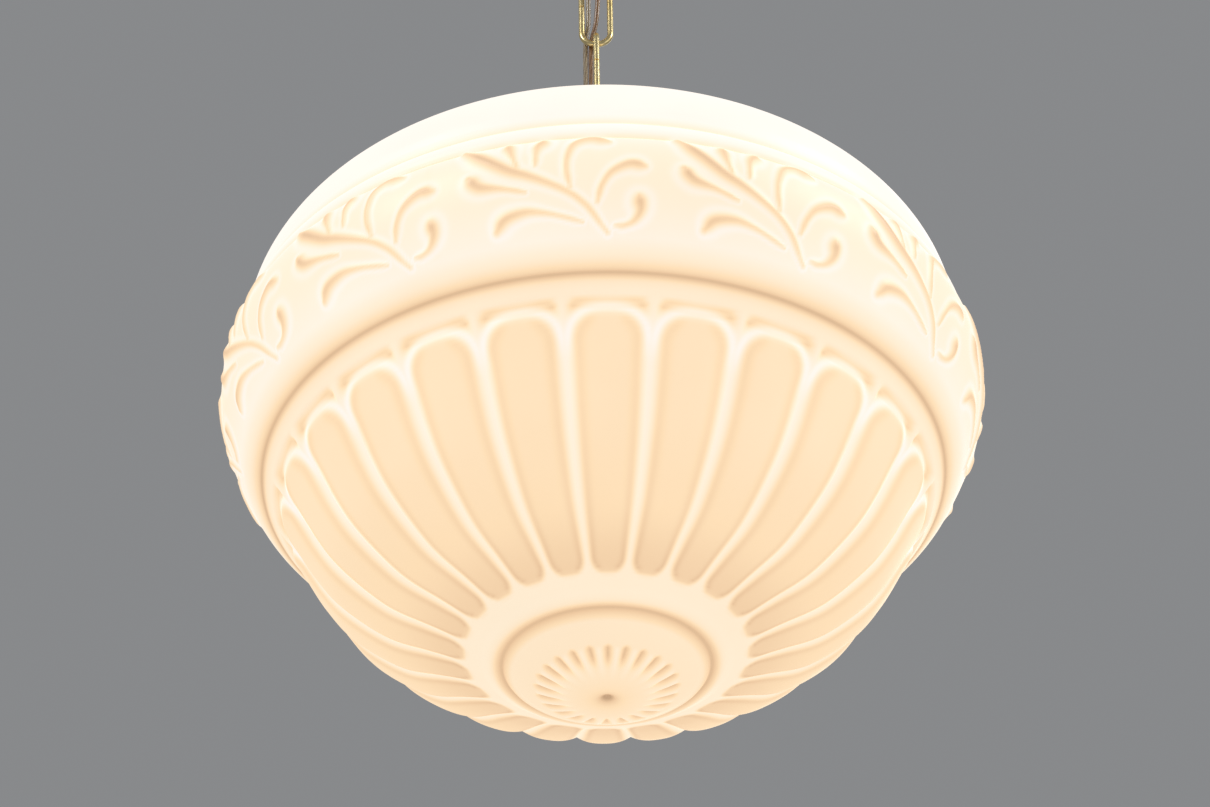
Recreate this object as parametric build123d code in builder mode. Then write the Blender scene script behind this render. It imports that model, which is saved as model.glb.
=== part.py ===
"""Pendant ceiling light: an opal glass bowl hung by a brass fitter and a chain from a ceiling canopy.

The origin is the centre of the ceiling plane, +Z is up and the light hangs below it.  Heights are
worked out from the ceiling downwards: bar, hickey, loop, chain, fitter, glass, lampholder, lamp.
"""

import os
from math import cos, pi, radians, sin, tan

from build123d import *

os.makedirs("parts", exist_ok=True)

# ------------------------------------------------------------------ clearances, mm
thread_gap = 0.05  # radial gap between a screw thread and its nut or bore
hang_gap = 0.3  # gap between two curved pieces that hang on one another
seat_gap = 0.2  # gap under a piece that rests on another one
overcut = 1.0  # how far a cutting shape runs past the face that it opens

# ------------------------------------------------------------------ ceiling bar and its hickey
bar_length = 112.0
bar_width = 16.0
bar_sheet = 2.0
bar_drop = 10.0  # how far the middle lies below the ceiling
bar_middle = 60.0  # length of the dropped middle
bar_bend = 4.0  # length of each sloped step
slot_spacing = 90.0
slot_length = 14.0
slot_width = 5.0

tube_radius = 5.0  # M10 x 1 threaded tube
tube_bore = 3.5
nut_flats = 17.0
nut_height = 4.0
stud_length = 16.0
stud_above_bar = 5.0

hickey_height = 22.0
hickey_boss = 6.0  # height of each threaded boss
hickey_radius = 9.0
hickey_window = 12.0  # width of the open window

block_size = (12.0, 26.0, 13.0)
block_offset = 23.0  # from the axis to the middle of the terminal block
block_screw_spacing = 8.0
terminal_screw_radius = 1.6
terminal_head_radius = 2.4
terminal_head_height = 1.6
earth_head_radius = 3.8
earth_head_height = 2.4
earth_screw_tip = 2.0  # how far the screw stands out above the bar

# ------------------------------------------------------------------ canopy, loop and collar
canopy_radius = 62.5
canopy_height = 50.0
canopy_rim = 6.0
canopy_sheet = 1.0
canopy_flat = 21.0  # radius of the flat round the hole
canopy_bulge = 12.0  # how far the dome's side bulges from a straight cone

hub_thread_radius = 12.5
hub_thread_length = 16.0
hub_above_canopy = 6.0
nipple_depth = 10.0  # how deep the nipple is screwed into the hub
nipple_flange = 1.5  # height of the bush on the nipple's end
collar_height = 8.0
collar_radius = 16.5
collar_flange_radius = 19.5
collar_flange_height = 2.0
collar_grips = 30
collar_grip_radius = 0.9

loop_width = 24.0  # outside width of the ceiling loop
loop_wire = 4.0
loop_sink = 2.5  # how deep a loop's wire runs into its hub

# ------------------------------------------------------------------ chain and cord
link_count = 3
link_length = 58.0
link_width = 20.0
link_wire = 3.5
link_seam = 0.3  # open butt joint in one side of each link
link_seam_above_middle = 2.0

strand_radius = 1.4
strand_spacing = 3.0  # between the strands' middles inside the tubes

# ------------------------------------------------------------------ fitter
fitter_loop_width = 26.0
fitter_hub_radius = 8.0
fitter_hub_length = 12.0
fitter_flange_radius = 11.0
fitter_flange_height = 2.0
tube_depth = 4.0  # from the top of the hub down to the tube's end
column_length = 36.4
column_base_radius = 17.0
column_base_height = 2.5
column_waist_radius = 7.5
column_belly_radius = 13.0
column_fillet = 1.5  # how far the waist opens before the belly starts
column_foot_bulge = 2.0

cap_flat_radius = 22.0
cap_dome_height = 28.0
cap_skirt_height = 22.0
cap_sheet = 1.2
cap_bulge = 9.0  # how far the dome rises above a straight cone
cap_lip_gap = 4.4  # from the glass lip to the inside of the skirt
gasket_thickness = 2.0

washer_radius = 14.0
washer_sheet = 1.5

screw_count = 3
screw_radius = 2.0
screw_azimuth = 30.0
boss_radius = 4.5
boss_reach = 5.4  # how far a boss stands out from the skirt
boss_inset = 1.9  # how far it reaches in behind the skirt
screw_shank = 14.5
screw_head_radius = 6.5
screw_head_length = 7.0
screw_neck_radius = 3.5
screw_neck_length = 2.0
screw_grips = 20
screw_grip_radius = 0.5
tip_radius = 1.9
tip_length = 4.2
tip_spigot_radius = 1.0
tip_spigot_length = 2.5

# ------------------------------------------------------------------ glass bowl
glass_wall = 4.0
neck_radius = 70.5
neck_height = 20.0
neck_sweep = 4.0  # from the neck out to where the shoulder starts
lip_overhang = 4.5  # how far the lip stands out from the neck
lip_height = 8.0
shoulder_radius = 190.0
shoulder_height = 68.0
shoulder_power = 2.3  # squarer than an ellipse, whose power is 2
bead_height = 15.0
bead_radius = 196.0
bead_bulge = 1.5
band_radius = 201.5
band_height = 55.0
band_curve = 62.0
band_round = 1.3  # how far the band's top edge lies inside its widest part
band_rise = 9.5  # how far that edge lies above the widest part
band_foot_height = 13.7
band_foot_radius = 187.5
groove_radius = 175.7
groove_bulge = 2.5
groove_height = 84.0  # from the groove up to the shoulder's foot
flute_top_radius = 170.0
flute_top_drop = 7.8
flute_middle_radius = 135.7
flute_middle_drop = 63.4
flute_foot_radius = 69.0
flute_foot_drop = 98.6
disc_radius = 52.2
disc_drop = 107.4
disc_depth = 19.6

# ------------------------------------------------------------------ lampholder and lamp
holder_gap = 1.5  # between the cap nut and the lampholder
holder_collar_radius = 8.5
holder_collar_height = 9.0
holder_radius = 20.5
holder_wall = 2.3
holder_bulge = 2.5
holder_cap_height = 22.0
holder_tube_depth = 8.5  # how far the threaded tube reaches down inside
holder_skirt_height = 37.0
insert_height = 10.0
insert_above_joint = 2.0
liner_radius = 14.2
liner_sheet = 0.6
liner_height = 24.0
contact_sheet = 0.8
contact_width = 5.0
contact_drop = 4.0  # from the insert down to the lamp's contact
holder_screw_radius = 2.0
holder_screw_head = 3.2
holder_screw_head_height = 1.8
holder_screw_offset = 8.0

lamp_length = 107.0
lamp_radius = 30.0
lamp_shell_radius = 13.05
lamp_shell_height = 22.0
lamp_contact_radius = 4.6
lamp_contact_height = 2.0
lamp_insulator_height = 4.0
lamp_glass = 0.8
lamp_neck_radius = 12.4
lamp_neck_overlap = 3.0  # how far the glass neck reaches up inside the shell
stem_radius = 3.0
filament_span = 11.0
filament_rise = 14.0  # from the filament up to the end of the stem
filament_wire = 0.5

# ------------------------------------------------------------------ heights worked out from the ceiling
bar_top_z = -bar_drop
bar_under_z = bar_top_z - bar_sheet
hickey_top_z = bar_under_z - nut_height - seat_gap
hickey_foot_z = hickey_top_z - hickey_height
hub_top_z = -canopy_height + hub_above_canopy
hub_foot_z = hub_top_z - hub_thread_length
nipple_top_z = hickey_foot_z + hickey_boss
nipple_foot_z = hub_top_z - nipple_depth

loop_radius = (loop_width - loop_wire) / 2
loop_z = hub_foot_z + loop_sink - loop_width / 2
loop_wire_z = loop_z - loop_radius
link_pitch = link_length - 2 * link_wire - hang_gap
first_link_top_z = loop_wire_z + loop_wire / 2 + hang_gap + link_wire
link_top_z = [first_link_top_z - number * link_pitch for number in range(link_count)]
last_link_foot_z = link_top_z[-1] - link_length

fitter_loop_radius = (fitter_loop_width - loop_wire) / 2
fitter_loop_z = last_link_foot_z + link_wire + hang_gap + loop_wire - fitter_loop_width / 2
fitter_hub_top_z = fitter_loop_z - fitter_loop_width / 2 + loop_sink
fitter_hub_foot_z = fitter_hub_top_z - fitter_hub_length
cap_top_z = fitter_hub_foot_z - column_length
cap_ledge_z = cap_top_z - cap_dome_height
cap_foot_z = cap_ledge_z - cap_skirt_height
lip_radius = neck_radius + lip_overhang
cap_inner_radius = lip_radius + cap_lip_gap
cap_outer_radius = cap_inner_radius + cap_sheet
washer_top_z = cap_top_z - cap_sheet
cap_nut_top_z = washer_top_z - washer_sheet
cap_nut_foot_z = cap_nut_top_z - nut_height
tube_top_z = fitter_hub_top_z - tube_depth

rim_z = cap_ledge_z - cap_sheet - gasket_thickness - 2 * seat_gap
lip_foot_z = rim_z - lip_height
neck_foot_z = rim_z - neck_height
shoulder_foot_z = neck_foot_z - shoulder_height
groove_z = shoulder_foot_z - groove_height
screw_z = lip_foot_z - seat_gap - tip_radius

holder_top_z = cap_nut_foot_z - holder_gap
holder_joint_z = holder_top_z - holder_cap_height
holder_foot_z = holder_joint_z - holder_skirt_height
tube_foot_z = holder_top_z - holder_tube_depth
insert_top_z = holder_joint_z + insert_above_joint
insert_foot_z = insert_top_z - insert_height
liner_top_z = insert_foot_z - seat_gap
liner_foot_z = liner_top_z - liner_height
lamp_top_z = insert_foot_z - contact_drop
lamp_insulator_z = lamp_top_z - lamp_contact_height
lamp_shell_z = lamp_insulator_z - lamp_insulator_height
lamp_shell_foot_z = lamp_shell_z - lamp_shell_height
lamp_foot_z = lamp_top_z - lamp_length


def save(piece, name):
    """Label a finished piece and write it to its own file."""
    piece.part.label = name
    export_step(piece.part, f"parts/{name}.step")


# ================================================================== ceiling bar
half_bar = bar_length / 2
half_middle = bar_middle / 2
step_end = half_middle + bar_bend
bar_line = [(-half_bar, 0), (-step_end, 0), (-half_middle, bar_top_z)]
bar_line += [(half_middle, bar_top_z), (step_end, 0), (half_bar, 0)]

with BuildPart() as mounting_bar:
    with BuildSketch(Plane.XZ):
        with BuildLine():
            Polyline(*bar_line, *[(x, z - bar_sheet) for x, z in reversed(bar_line)], close=True)
        make_face()
    extrude(amount=bar_width / 2, both=True)
    with BuildSketch(Plane.XY):
        with GridLocations(slot_spacing, 1, 2, 1):
            SlotOverall(slot_length, slot_width)
        Circle(tube_radius + thread_gap)
        with Locations((-block_offset, 0), (block_offset, 0)):
            Circle(terminal_screw_radius + thread_gap)
    extrude(amount=-bar_drop - bar_sheet, mode=Mode.SUBTRACT)
save(mounting_bar, "mounting_bar")

with BuildPart() as bar_stud:
    with BuildSketch(Plane.XY.offset(bar_top_z + stud_above_bar)):
        Circle(tube_radius)
        Circle(tube_bore, mode=Mode.SUBTRACT)
    extrude(amount=-stud_length)
save(bar_stud, "bar_stud")

with BuildPart() as bar_nuts:
    for nut_top in (bar_top_z + nut_height, bar_under_z):
        with BuildSketch(Plane.XY.offset(nut_top)):
            RegularPolygon(nut_flats / 2, 6, major_radius=False)
            Circle(tube_radius + thread_gap, mode=Mode.SUBTRACT)
        extrude(amount=-nut_height)
save(bar_nuts, "bar_nuts")

with BuildPart() as hickey:
    with BuildSketch(Plane.XY.offset(hickey_top_z)):
        Circle(hickey_radius)
        Circle(tube_radius + thread_gap, mode=Mode.SUBTRACT)
    extrude(amount=-hickey_height)
    with BuildSketch(Plane.XY.offset(hickey_top_z - hickey_boss)):
        Rectangle(2 * hickey_radius, hickey_window)
    extrude(amount=-(hickey_height - 2 * hickey_boss), mode=Mode.SUBTRACT)
save(hickey, "hickey")

with BuildPart() as earth_screw:
    with BuildSketch(Plane.XY.offset(bar_under_z)):
        with Locations((block_offset, 0)):
            Circle(earth_head_radius)
    extrude(amount=-earth_head_height)
    with BuildSketch(Plane.XY.offset(bar_under_z)):
        with Locations((block_offset, 0)):
            Circle(terminal_screw_radius)
    extrude(amount=bar_sheet + earth_screw_tip)
save(earth_screw, "earth_screw")

with BuildPart() as terminal_block:
    block_x, block_y, block_z = block_size
    with BuildSketch(Plane.XY.offset(bar_under_z)):
        with Locations((-block_offset, 0)):
            Rectangle(block_x, block_y)
            Circle(terminal_screw_radius + thread_gap, mode=Mode.SUBTRACT)
    extrude(amount=-block_z)
    with BuildSketch(Plane.YZ.offset(-block_offset - block_x / 2)):
        with Locations((0, bar_under_z - block_z / 2)):
            with GridLocations(2 * block_screw_spacing, 1, 2, 1):
                Circle(strand_radius + seat_gap)
    extrude(amount=block_x, mode=Mode.SUBTRACT)
save(terminal_block, "terminal_block")

with BuildPart() as block_screw:
    block_foot_z = bar_under_z - block_z
    with BuildSketch(Plane.XY.offset(block_foot_z)):
        with Locations((-block_offset, 0)):
            Circle(terminal_head_radius)
    extrude(amount=-terminal_head_height)
    with BuildSketch(Plane.XY.offset(block_foot_z)):
        with Locations((-block_offset, 0)):
            Circle(terminal_screw_radius)
    extrude(amount=block_z + bar_sheet)
save(block_screw, "block_screw")

# ================================================================== ceiling loop, nipple and bush
with BuildPart() as loop_nipple:
    with BuildSketch(Plane.XY.offset(nipple_top_z)):
        Circle(tube_radius)
        Circle(tube_bore, mode=Mode.SUBTRACT)
    extrude(amount=nipple_foot_z - nipple_top_z)
save(loop_nipple, "loop_nipple")

with BuildPart() as nipple_bush:
    with BuildSketch(Plane.XY.offset(nipple_top_z)):
        Circle(tube_radius)
        Circle(strand_spacing / 2 + strand_radius + thread_gap, mode=Mode.SUBTRACT)
    extrude(amount=nipple_flange)
save(nipple_bush, "nipple_bush")

with BuildPart() as ceiling_loop:
    with BuildSketch(Plane.XY.offset(loop_z)):
        with Locations((loop_radius, 0)):
            Circle(loop_wire / 2)
    revolve(axis=Axis((0, 0, loop_z), (0, 1, 0)))
    with BuildSketch(Plane.XY.offset(hub_top_z)):
        Circle(hub_thread_radius)
    extrude(amount=-hub_thread_length)
    with BuildSketch(Plane.XY.offset(hub_top_z)):
        Circle(tube_radius + thread_gap)
    extrude(amount=nipple_foot_z - hub_top_z - seat_gap, mode=Mode.SUBTRACT)
    with BuildSketch(Plane.XY.offset(hub_top_z)):
        Circle(tube_bore)
    extrude(amount=loop_z - hub_top_z, mode=Mode.SUBTRACT)
save(ceiling_loop, "ceiling_loop")

# ================================================================== canopy and its collar
with BuildPart() as canopy:
    for sheet, mode in ((0, Mode.ADD), (canopy_sheet, Mode.SUBTRACT)):
        radius = canopy_radius - sheet
        depth = canopy_height - sheet
        with BuildSketch(Plane.XZ):
            with BuildLine():
                rim = Line((radius, 0), (radius, -canopy_rim))
                dome = SagittaArc(rim @ 1, (canopy_flat, -depth), canopy_bulge)
                Polyline(dome @ 1, (0, -depth), (0, 0), (radius, 0))
            make_face()
        revolve(axis=Axis.Z, mode=mode)
    with BuildSketch(Plane.XY):
        Circle(hub_thread_radius + 2 * thread_gap)
    extrude(amount=-2 * canopy_height, mode=Mode.SUBTRACT)
save(canopy, "canopy")

with BuildPart() as collar_ring:
    with BuildSketch(Plane.XY.offset(-canopy_height - thread_gap)):
        Circle(collar_flange_radius)
    extrude(amount=-collar_flange_height)
    with BuildSketch(Plane.XY.offset(-canopy_height - thread_gap)):
        Circle(collar_radius)
    extrude(amount=-collar_height)
    with BuildSketch(Plane.XY.offset(-canopy_height - collar_height)):
        with PolarLocations(collar_radius, collar_grips):
            Circle(collar_grip_radius)
    extrude(amount=collar_height - 2 * collar_flange_height, mode=Mode.SUBTRACT)
    with BuildSketch(Plane.XY):
        Circle(hub_thread_radius + thread_gap)
    extrude(amount=-2 * canopy_height, mode=Mode.SUBTRACT)
save(collar_ring, "collar_ring")


# ================================================================== chain
def chain_link(top_z, flat):
    """One oval link of round wire hanging in the given upright plane, with its butt joint on one side."""
    bend = (link_width - link_wire) / 2
    half = (link_length - link_width) / 2
    middle_z = top_z - link_length / 2
    with BuildPart() as link:
        with BuildLine(flat) as oval:
            right = Line((bend, middle_z - half), (bend, middle_z + half))
            top = RadiusArc(right @ 1, (-bend, middle_z + half), -bend)
            left = Line(top @ 1, (-bend, middle_z - half))
            RadiusArc(left @ 1, right @ 0, -bend)
        with BuildSketch(Plane(origin=oval.line @ 0, z_dir=oval.line % 0)):
            Circle(link_wire / 2)
        sweep()
        seam_z = middle_z + link_seam_above_middle
        with BuildSketch(Plane.XY.offset(seam_z)):
            with Locations(-bend * flat.x_dir):
                Rectangle(2 * link_wire, 2 * link_wire)
        extrude(amount=link_seam, mode=Mode.SUBTRACT)
    return link


for number, link_z in enumerate(link_top_z):
    save(chain_link(link_z, Plane.XZ if number % 2 else Plane.YZ), f"chain_link_{number + 1}")


# ================================================================== twin cord
# Each strand leaves the hub of the ceiling loop, goes down in front of the first link, crosses to the
# back inside the second one, stays beside the third one and goes into the hub of the fitter loop.
left_strand = [(-1.5, 0, -58), (-1.5, 0, -64), (-3.6, -3.75, -76), (-3.5, -3.8, -130), (-4.3, -2.2, -147)]
left_strand += [(-4.2, 1.8, -164), (-6.5, 3.8, -177), (-6.3, 3.9, -205), (-6.9, 3.9, -233.5)]
left_strand += [(-1.5, 0, -246.5), (-1.5, 0, -254)]
right_strand = [(1.5, 0, -58), (1.5, 0, -64), (3.6, -3.75, -76), (3.5, -3.8, -131), (1.2, -2.2, -147)]
right_strand += [(0.2, 1.8, -163), (-3.4, 3.8, -176), (-3.3, 3.9, -205), (-3.7, 3.9, -233.5)]
right_strand += [(1.5, 0, -246.5), (1.5, 0, -254)]


def arc_radii(points):
    """The largest tangent arc for each corner of a route, as its two runs allow."""
    corners = [Vector(*point) for point in points]
    radii = []
    for before, corner, after in zip(corners, corners[1:], corners[2:]):
        turn = radians((corner - before).get_angle(after - corner))
        run = min((corner - before).length, (after - corner).length)
        radii.append(0.45 * run / tan(turn / 2))
    return radii


def strand(points):
    """A round strand along runs joined by tangent arcs."""
    radii = arc_radii(points)
    with BuildPart() as tube:
        with BuildLine() as route:
            FilletPolyline(*points, radius=radii)
        with BuildSketch(Plane(origin=points[0], z_dir=route.line % 0)):
            Circle(strand_radius)
        sweep()
    length = sum(edge.length for edge in route.edges())
    print("strand arcs", [round(radius) for radius in radii], "length", round(length, 1))
    print("volume", round(tube.part.volume), "section times length", round(pi * strand_radius**2 * length))
    return tube.part


strands = [strand(left_strand), strand(right_strand)]
link_middles = [top - link_length / 2 for top in link_top_z]
cord_cuts = [left_strand[0][2], *link_middles, left_strand[-1][2]]
for number, (upper_z, lower_z) in enumerate(zip(cord_cuts, cord_cuts[1:])):
    with BuildPart() as cord_segment:
        add(strands)
        with BuildSketch(Plane.XY.offset(lower_z)):
            Rectangle(2 * link_width, 2 * link_width)
        extrude(amount=upper_z - lower_z, mode=Mode.INTERSECT)
    save(cord_segment, f"cord_segment_{number + 1}")

block_entry_x = -block_offset + block_x / 6
block_hole_z = bar_under_z - block_z / 2
with BuildPart() as cord_in_canopy:
    for side in (-1, 1):
        tail = [(side * 1.5, 0, -58), (side * 1.5, 0, -27.2 + side * 1.2)]
        tail += [(-4.2, side * 2.4, -24.9 + side * 0.6), (-10.5, side * 3.8, -23.6)]
        tail += [(-14.0, side * block_screw_spacing, block_hole_z)]
        tail.append((block_entry_x, side * block_screw_spacing, block_hole_z - 0.05))
        add(strand(tail))
save(cord_in_canopy, "cord_in_canopy")

# ================================================================== fitter: loop, column, cap and tube
with BuildPart() as fitter_loop:
    with BuildSketch(Plane.XY.offset(fitter_loop_z)):
        with Locations((fitter_loop_radius, 0)):
            Circle(loop_wire / 2)
    revolve(axis=Axis((0, 0, fitter_loop_z), (0, 1, 0)))
    with BuildSketch(Plane.XY.offset(fitter_hub_top_z)):
        Circle(fitter_hub_radius)
    extrude(amount=-fitter_hub_length)
    with BuildSketch(Plane.XY.offset(fitter_hub_foot_z)):
        Circle(fitter_flange_radius)
    extrude(amount=fitter_flange_height)
    with BuildSketch(Plane.XY.offset(fitter_hub_foot_z)):
        Circle(tube_radius + thread_gap)
    extrude(amount=tube_top_z - fitter_hub_foot_z + seat_gap, mode=Mode.SUBTRACT)
    with BuildSketch(Plane.XY.offset(fitter_hub_foot_z)):
        Circle(tube_bore)
    extrude(amount=fitter_loop_z - fitter_hub_foot_z, mode=Mode.SUBTRACT)
save(fitter_loop, "fitter_loop")

with BuildPart() as fitter_tube:
    with BuildSketch(Plane.XY.offset(tube_top_z)):
        Circle(tube_radius)
        Circle(tube_bore, mode=Mode.SUBTRACT)
    extrude(amount=tube_foot_z - tube_top_z)
save(fitter_tube, "fitter_tube")

with BuildPart() as column:
    waist_z = fitter_hub_foot_z - column_length / 5
    belly_z = fitter_hub_foot_z - column_length / 2
    throat_z = cap_top_z + column_length / 3
    throat_radius = column_waist_radius + column_fillet
    with BuildSketch(Plane.XZ):
        with BuildLine():
            crown = Polyline((0, fitter_hub_foot_z), (fitter_flange_radius, fitter_hub_foot_z),
                             (fitter_flange_radius, fitter_hub_foot_z - fitter_flange_height))
            waist = ThreePointArc(crown @ 1, (column_waist_radius, waist_z),
                                  (throat_radius, waist_z - 2 * column_fillet))
            belly = ThreePointArc(waist @ 1, (column_belly_radius, belly_z), (throat_radius, throat_z))
            base = (column_base_radius, cap_top_z + column_base_height)
            foot = SagittaArc(belly @ 1, base, column_foot_bulge)
            Polyline(foot @ 1, (column_base_radius, cap_top_z), (0, cap_top_z), (0, fitter_hub_foot_z))
        make_face()
    revolve(axis=Axis.Z)
    with BuildSketch(Plane.XY.offset(fitter_hub_foot_z)):
        Circle(tube_radius + thread_gap)
    extrude(amount=-column_length, mode=Mode.SUBTRACT)
save(column, "column")

screw_angles = [screw_azimuth + number * 360 / screw_count for number in range(screw_count)]


def screw_plane(angle, distance):
    """The plane square to a thumbscrew's axis, this far out from the middle of the fitter."""
    outward = Vector(cos(radians(angle)), sin(radians(angle)), 0)
    return Plane(origin=distance * outward + Vector(0, 0, screw_z), z_dir=outward)


with BuildPart() as fitter_cap:
    for sheet, foot_z, mode in ((0, cap_foot_z, Mode.ADD), (cap_sheet, cap_foot_z - overcut, Mode.SUBTRACT)):
        with BuildSketch(Plane.XZ):
            with BuildLine():
                flat = Line((0, cap_top_z - sheet), (cap_flat_radius, cap_top_z - sheet))
                dome = SagittaArc(flat @ 1, (cap_outer_radius - sheet, cap_ledge_z - sheet), cap_bulge)
                Polyline(dome @ 1, (cap_outer_radius - sheet, foot_z), (0, foot_z), (0, cap_top_z - sheet))
            make_face()
        revolve(axis=Axis.Z, mode=mode)
    for angle in screw_angles:
        with BuildSketch(screw_plane(angle, cap_inner_radius - boss_inset)):
            Circle(boss_radius)
        extrude(amount=boss_inset + cap_sheet + boss_reach)
        with BuildSketch(screw_plane(angle, neck_radius)):
            Circle(screw_radius + thread_gap)
        extrude(amount=2 * lip_radius, mode=Mode.SUBTRACT)
    with BuildSketch(Plane.XY.offset(cap_top_z)):
        Circle(tube_radius + thread_gap)
    extrude(amount=-2 * cap_sheet, mode=Mode.SUBTRACT)
save(fitter_cap, "fitter_cap")

with BuildPart() as cap_washer:
    with BuildSketch(Plane.XY.offset(washer_top_z)):
        Circle(washer_radius)
        Circle(tube_radius + thread_gap, mode=Mode.SUBTRACT)
    extrude(amount=-washer_sheet)
save(cap_washer, "cap_washer")

with BuildPart() as cap_nut:
    with BuildSketch(Plane.XY.offset(cap_nut_top_z)):
        RegularPolygon(nut_flats / 2, 6, major_radius=False)
        Circle(tube_radius + thread_gap, mode=Mode.SUBTRACT)
    extrude(amount=-nut_height)
save(cap_nut, "cap_nut")

with BuildPart() as lip_gasket:
    with BuildSketch(Plane.XY.offset(rim_z + seat_gap)):
        Circle(lip_radius)
        Circle(neck_radius - glass_wall, mode=Mode.SUBTRACT)
    extrude(amount=gasket_thickness)
save(lip_gasket, "lip_gasket")

# ================================================================== thumbscrews, each with a soft tip
tip_start = neck_radius + seat_gap
shank_start = tip_start + tip_length
head_start = shank_start + screw_shank
for number, angle in enumerate(screw_angles, start=1):
    with BuildPart() as screw_tip:
        with BuildSketch(screw_plane(angle, tip_start)):
            Circle(tip_radius)
        extrude(amount=tip_length)
        with BuildSketch(screw_plane(angle, shank_start - tip_spigot_length)):
            Circle(tip_spigot_radius + thread_gap)
        extrude(amount=tip_spigot_length, mode=Mode.SUBTRACT)
    save(screw_tip, f"screw_tip_{number}")

    with BuildPart() as thumbscrew:
        with BuildSketch(screw_plane(angle, shank_start + thread_gap)):
            Circle(screw_radius)
        extrude(amount=screw_shank)
        with BuildSketch(screw_plane(angle, shank_start - tip_spigot_length + seat_gap)):
            Circle(tip_spigot_radius)
        extrude(amount=tip_spigot_length)
        with BuildSketch(screw_plane(angle, head_start)):
            Circle(screw_head_radius)
            with PolarLocations(screw_head_radius, screw_grips):
                Circle(screw_grip_radius, mode=Mode.SUBTRACT)
        extrude(amount=screw_head_length)
        with BuildSketch(screw_plane(angle, head_start - screw_neck_length)):
            Circle(screw_neck_radius)
        extrude(amount=screw_neck_length + overcut)
    save(thumbscrew, f"thumbscrew_{number}")

# ================================================================== lampholder
with BuildPart() as holder_cap:
    shoulder_z = holder_top_z - holder_collar_height
    for wall, mode in ((0, Mode.ADD), (holder_wall, Mode.SUBTRACT)):
        foot_z = holder_joint_z - (overcut if wall else 0)
        with BuildSketch(Plane.XZ):
            with BuildLine():
                top = Line((0, shoulder_z - wall), (holder_collar_radius - wall, shoulder_z - wall))
                dome = SagittaArc(top @ 1, (holder_radius - wall, holder_joint_z + holder_wall), holder_bulge)
                Polyline(dome @ 1, (holder_radius - wall, foot_z), (0, foot_z), (0, shoulder_z - wall))
            make_face()
        revolve(axis=Axis.Z, mode=mode)
    with BuildSketch(Plane.XY.offset(shoulder_z)):
        Circle(holder_collar_radius)
    extrude(amount=holder_collar_height)
    with BuildSketch(Plane.XY.offset(holder_top_z)):
        Circle(tube_radius + thread_gap)
    extrude(amount=-holder_cap_height, mode=Mode.SUBTRACT)
save(holder_cap, "lampholder_cap")

with BuildPart() as holder_skirt:
    with BuildSketch(Plane.XY.offset(holder_joint_z)):
        Circle(holder_radius)
        Circle(holder_radius - holder_wall, mode=Mode.SUBTRACT)
    extrude(amount=-holder_skirt_height)
save(holder_skirt, "lampholder_skirt")

insert_radius = holder_radius - holder_wall - seat_gap
with BuildPart() as holder_insert:
    with BuildSketch(Plane.XY.offset(insert_top_z)):
        Circle(insert_radius)
        with GridLocations(2 * holder_screw_offset, 1, 2, 1):
            Circle(holder_screw_radius + thread_gap, mode=Mode.SUBTRACT)
    extrude(amount=-insert_height)
save(holder_insert, "lampholder_insert")

with BuildPart() as holder_screws:
    for side in (-1, 1):
        with BuildSketch(Plane.XY.offset(insert_top_z)):
            with Locations((side * holder_screw_offset, 0)):
                Circle(holder_screw_head)
        extrude(amount=holder_screw_head_height)
        with BuildSketch(Plane.XY.offset(insert_top_z)):
            with Locations((side * holder_screw_offset, 0)):
                Circle(holder_screw_radius)
        extrude(amount=-insert_height + holder_screw_radius)
save(holder_screws, "lampholder_screws")

with BuildPart() as threaded_liner:
    with BuildSketch(Plane.XY.offset(liner_top_z)):
        Circle(liner_radius)
        Circle(liner_radius - liner_sheet, mode=Mode.SUBTRACT)
    extrude(amount=-liner_height)
save(threaded_liner, "threaded_liner")

with BuildPart() as centre_contact:
    spring_foot = lamp_top_z + seat_gap
    spring_tip = (lamp_contact_radius, spring_foot)
    with BuildSketch(Plane.XZ):
        with BuildLine():
            Polyline((-2 * lamp_contact_radius, insert_foot_z),
                     (-contact_width / 2, spring_foot + contact_sheet),
                     (lamp_contact_radius, spring_foot + contact_sheet),
                     spring_tip,
                     (-contact_width / 2, spring_foot),
                     (-2 * lamp_contact_radius - contact_sheet, insert_foot_z),
                     close=True)
        make_face()
    extrude(amount=contact_width / 2, both=True)
save(centre_contact, "centre_contact")

with BuildPart() as cord_to_lampholder:
    for side in (-1, 1):
        tail = [(side * 1.5, 0, -254), (side * 1.5, 0, tube_foot_z + 3), (side * 2.2, 0, tube_foot_z - 4)]
        tail += [(side * 7.4, 0, insert_top_z + 4.6), (side * holder_screw_offset, 0, insert_top_z + 2.2)]
        add(strand(tail))
save(cord_to_lampholder, "cord_to_lampholder")

# ================================================================== lamp
neck_z = lamp_shell_foot_z + lamp_neck_overlap
bulb_z = lamp_foot_z + lamp_radius
with BuildPart() as lamp_glass_envelope:
    for wall, mode in ((0, Mode.ADD), (lamp_glass, Mode.SUBTRACT)):
        with BuildSketch(Plane.XZ):
            with BuildLine():
                inner = lamp_neck_radius - wall
                side = Line((inner, neck_z), (inner, neck_z - 2 * lamp_neck_overlap))
                flare = Spline(side @ 1, (lamp_radius - wall, bulb_z), tangents=((0, -1), (0, -1)))
                bowl = RadiusArc(flare @ 1, (0, lamp_foot_z + wall), lamp_radius - wall)
                Polyline(bowl @ 1, (0, neck_z), (inner, neck_z))
            make_face()
        revolve(axis=Axis.Z, mode=mode)
save(lamp_glass_envelope, "lamp_glass")

with BuildPart() as lamp_shell:
    with BuildSketch(Plane.XY.offset(lamp_shell_z)):
        Circle(lamp_shell_radius)
        Circle(lamp_neck_radius + thread_gap, mode=Mode.SUBTRACT)
    extrude(amount=-lamp_shell_height)
save(lamp_shell, "lamp_shell")

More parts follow.
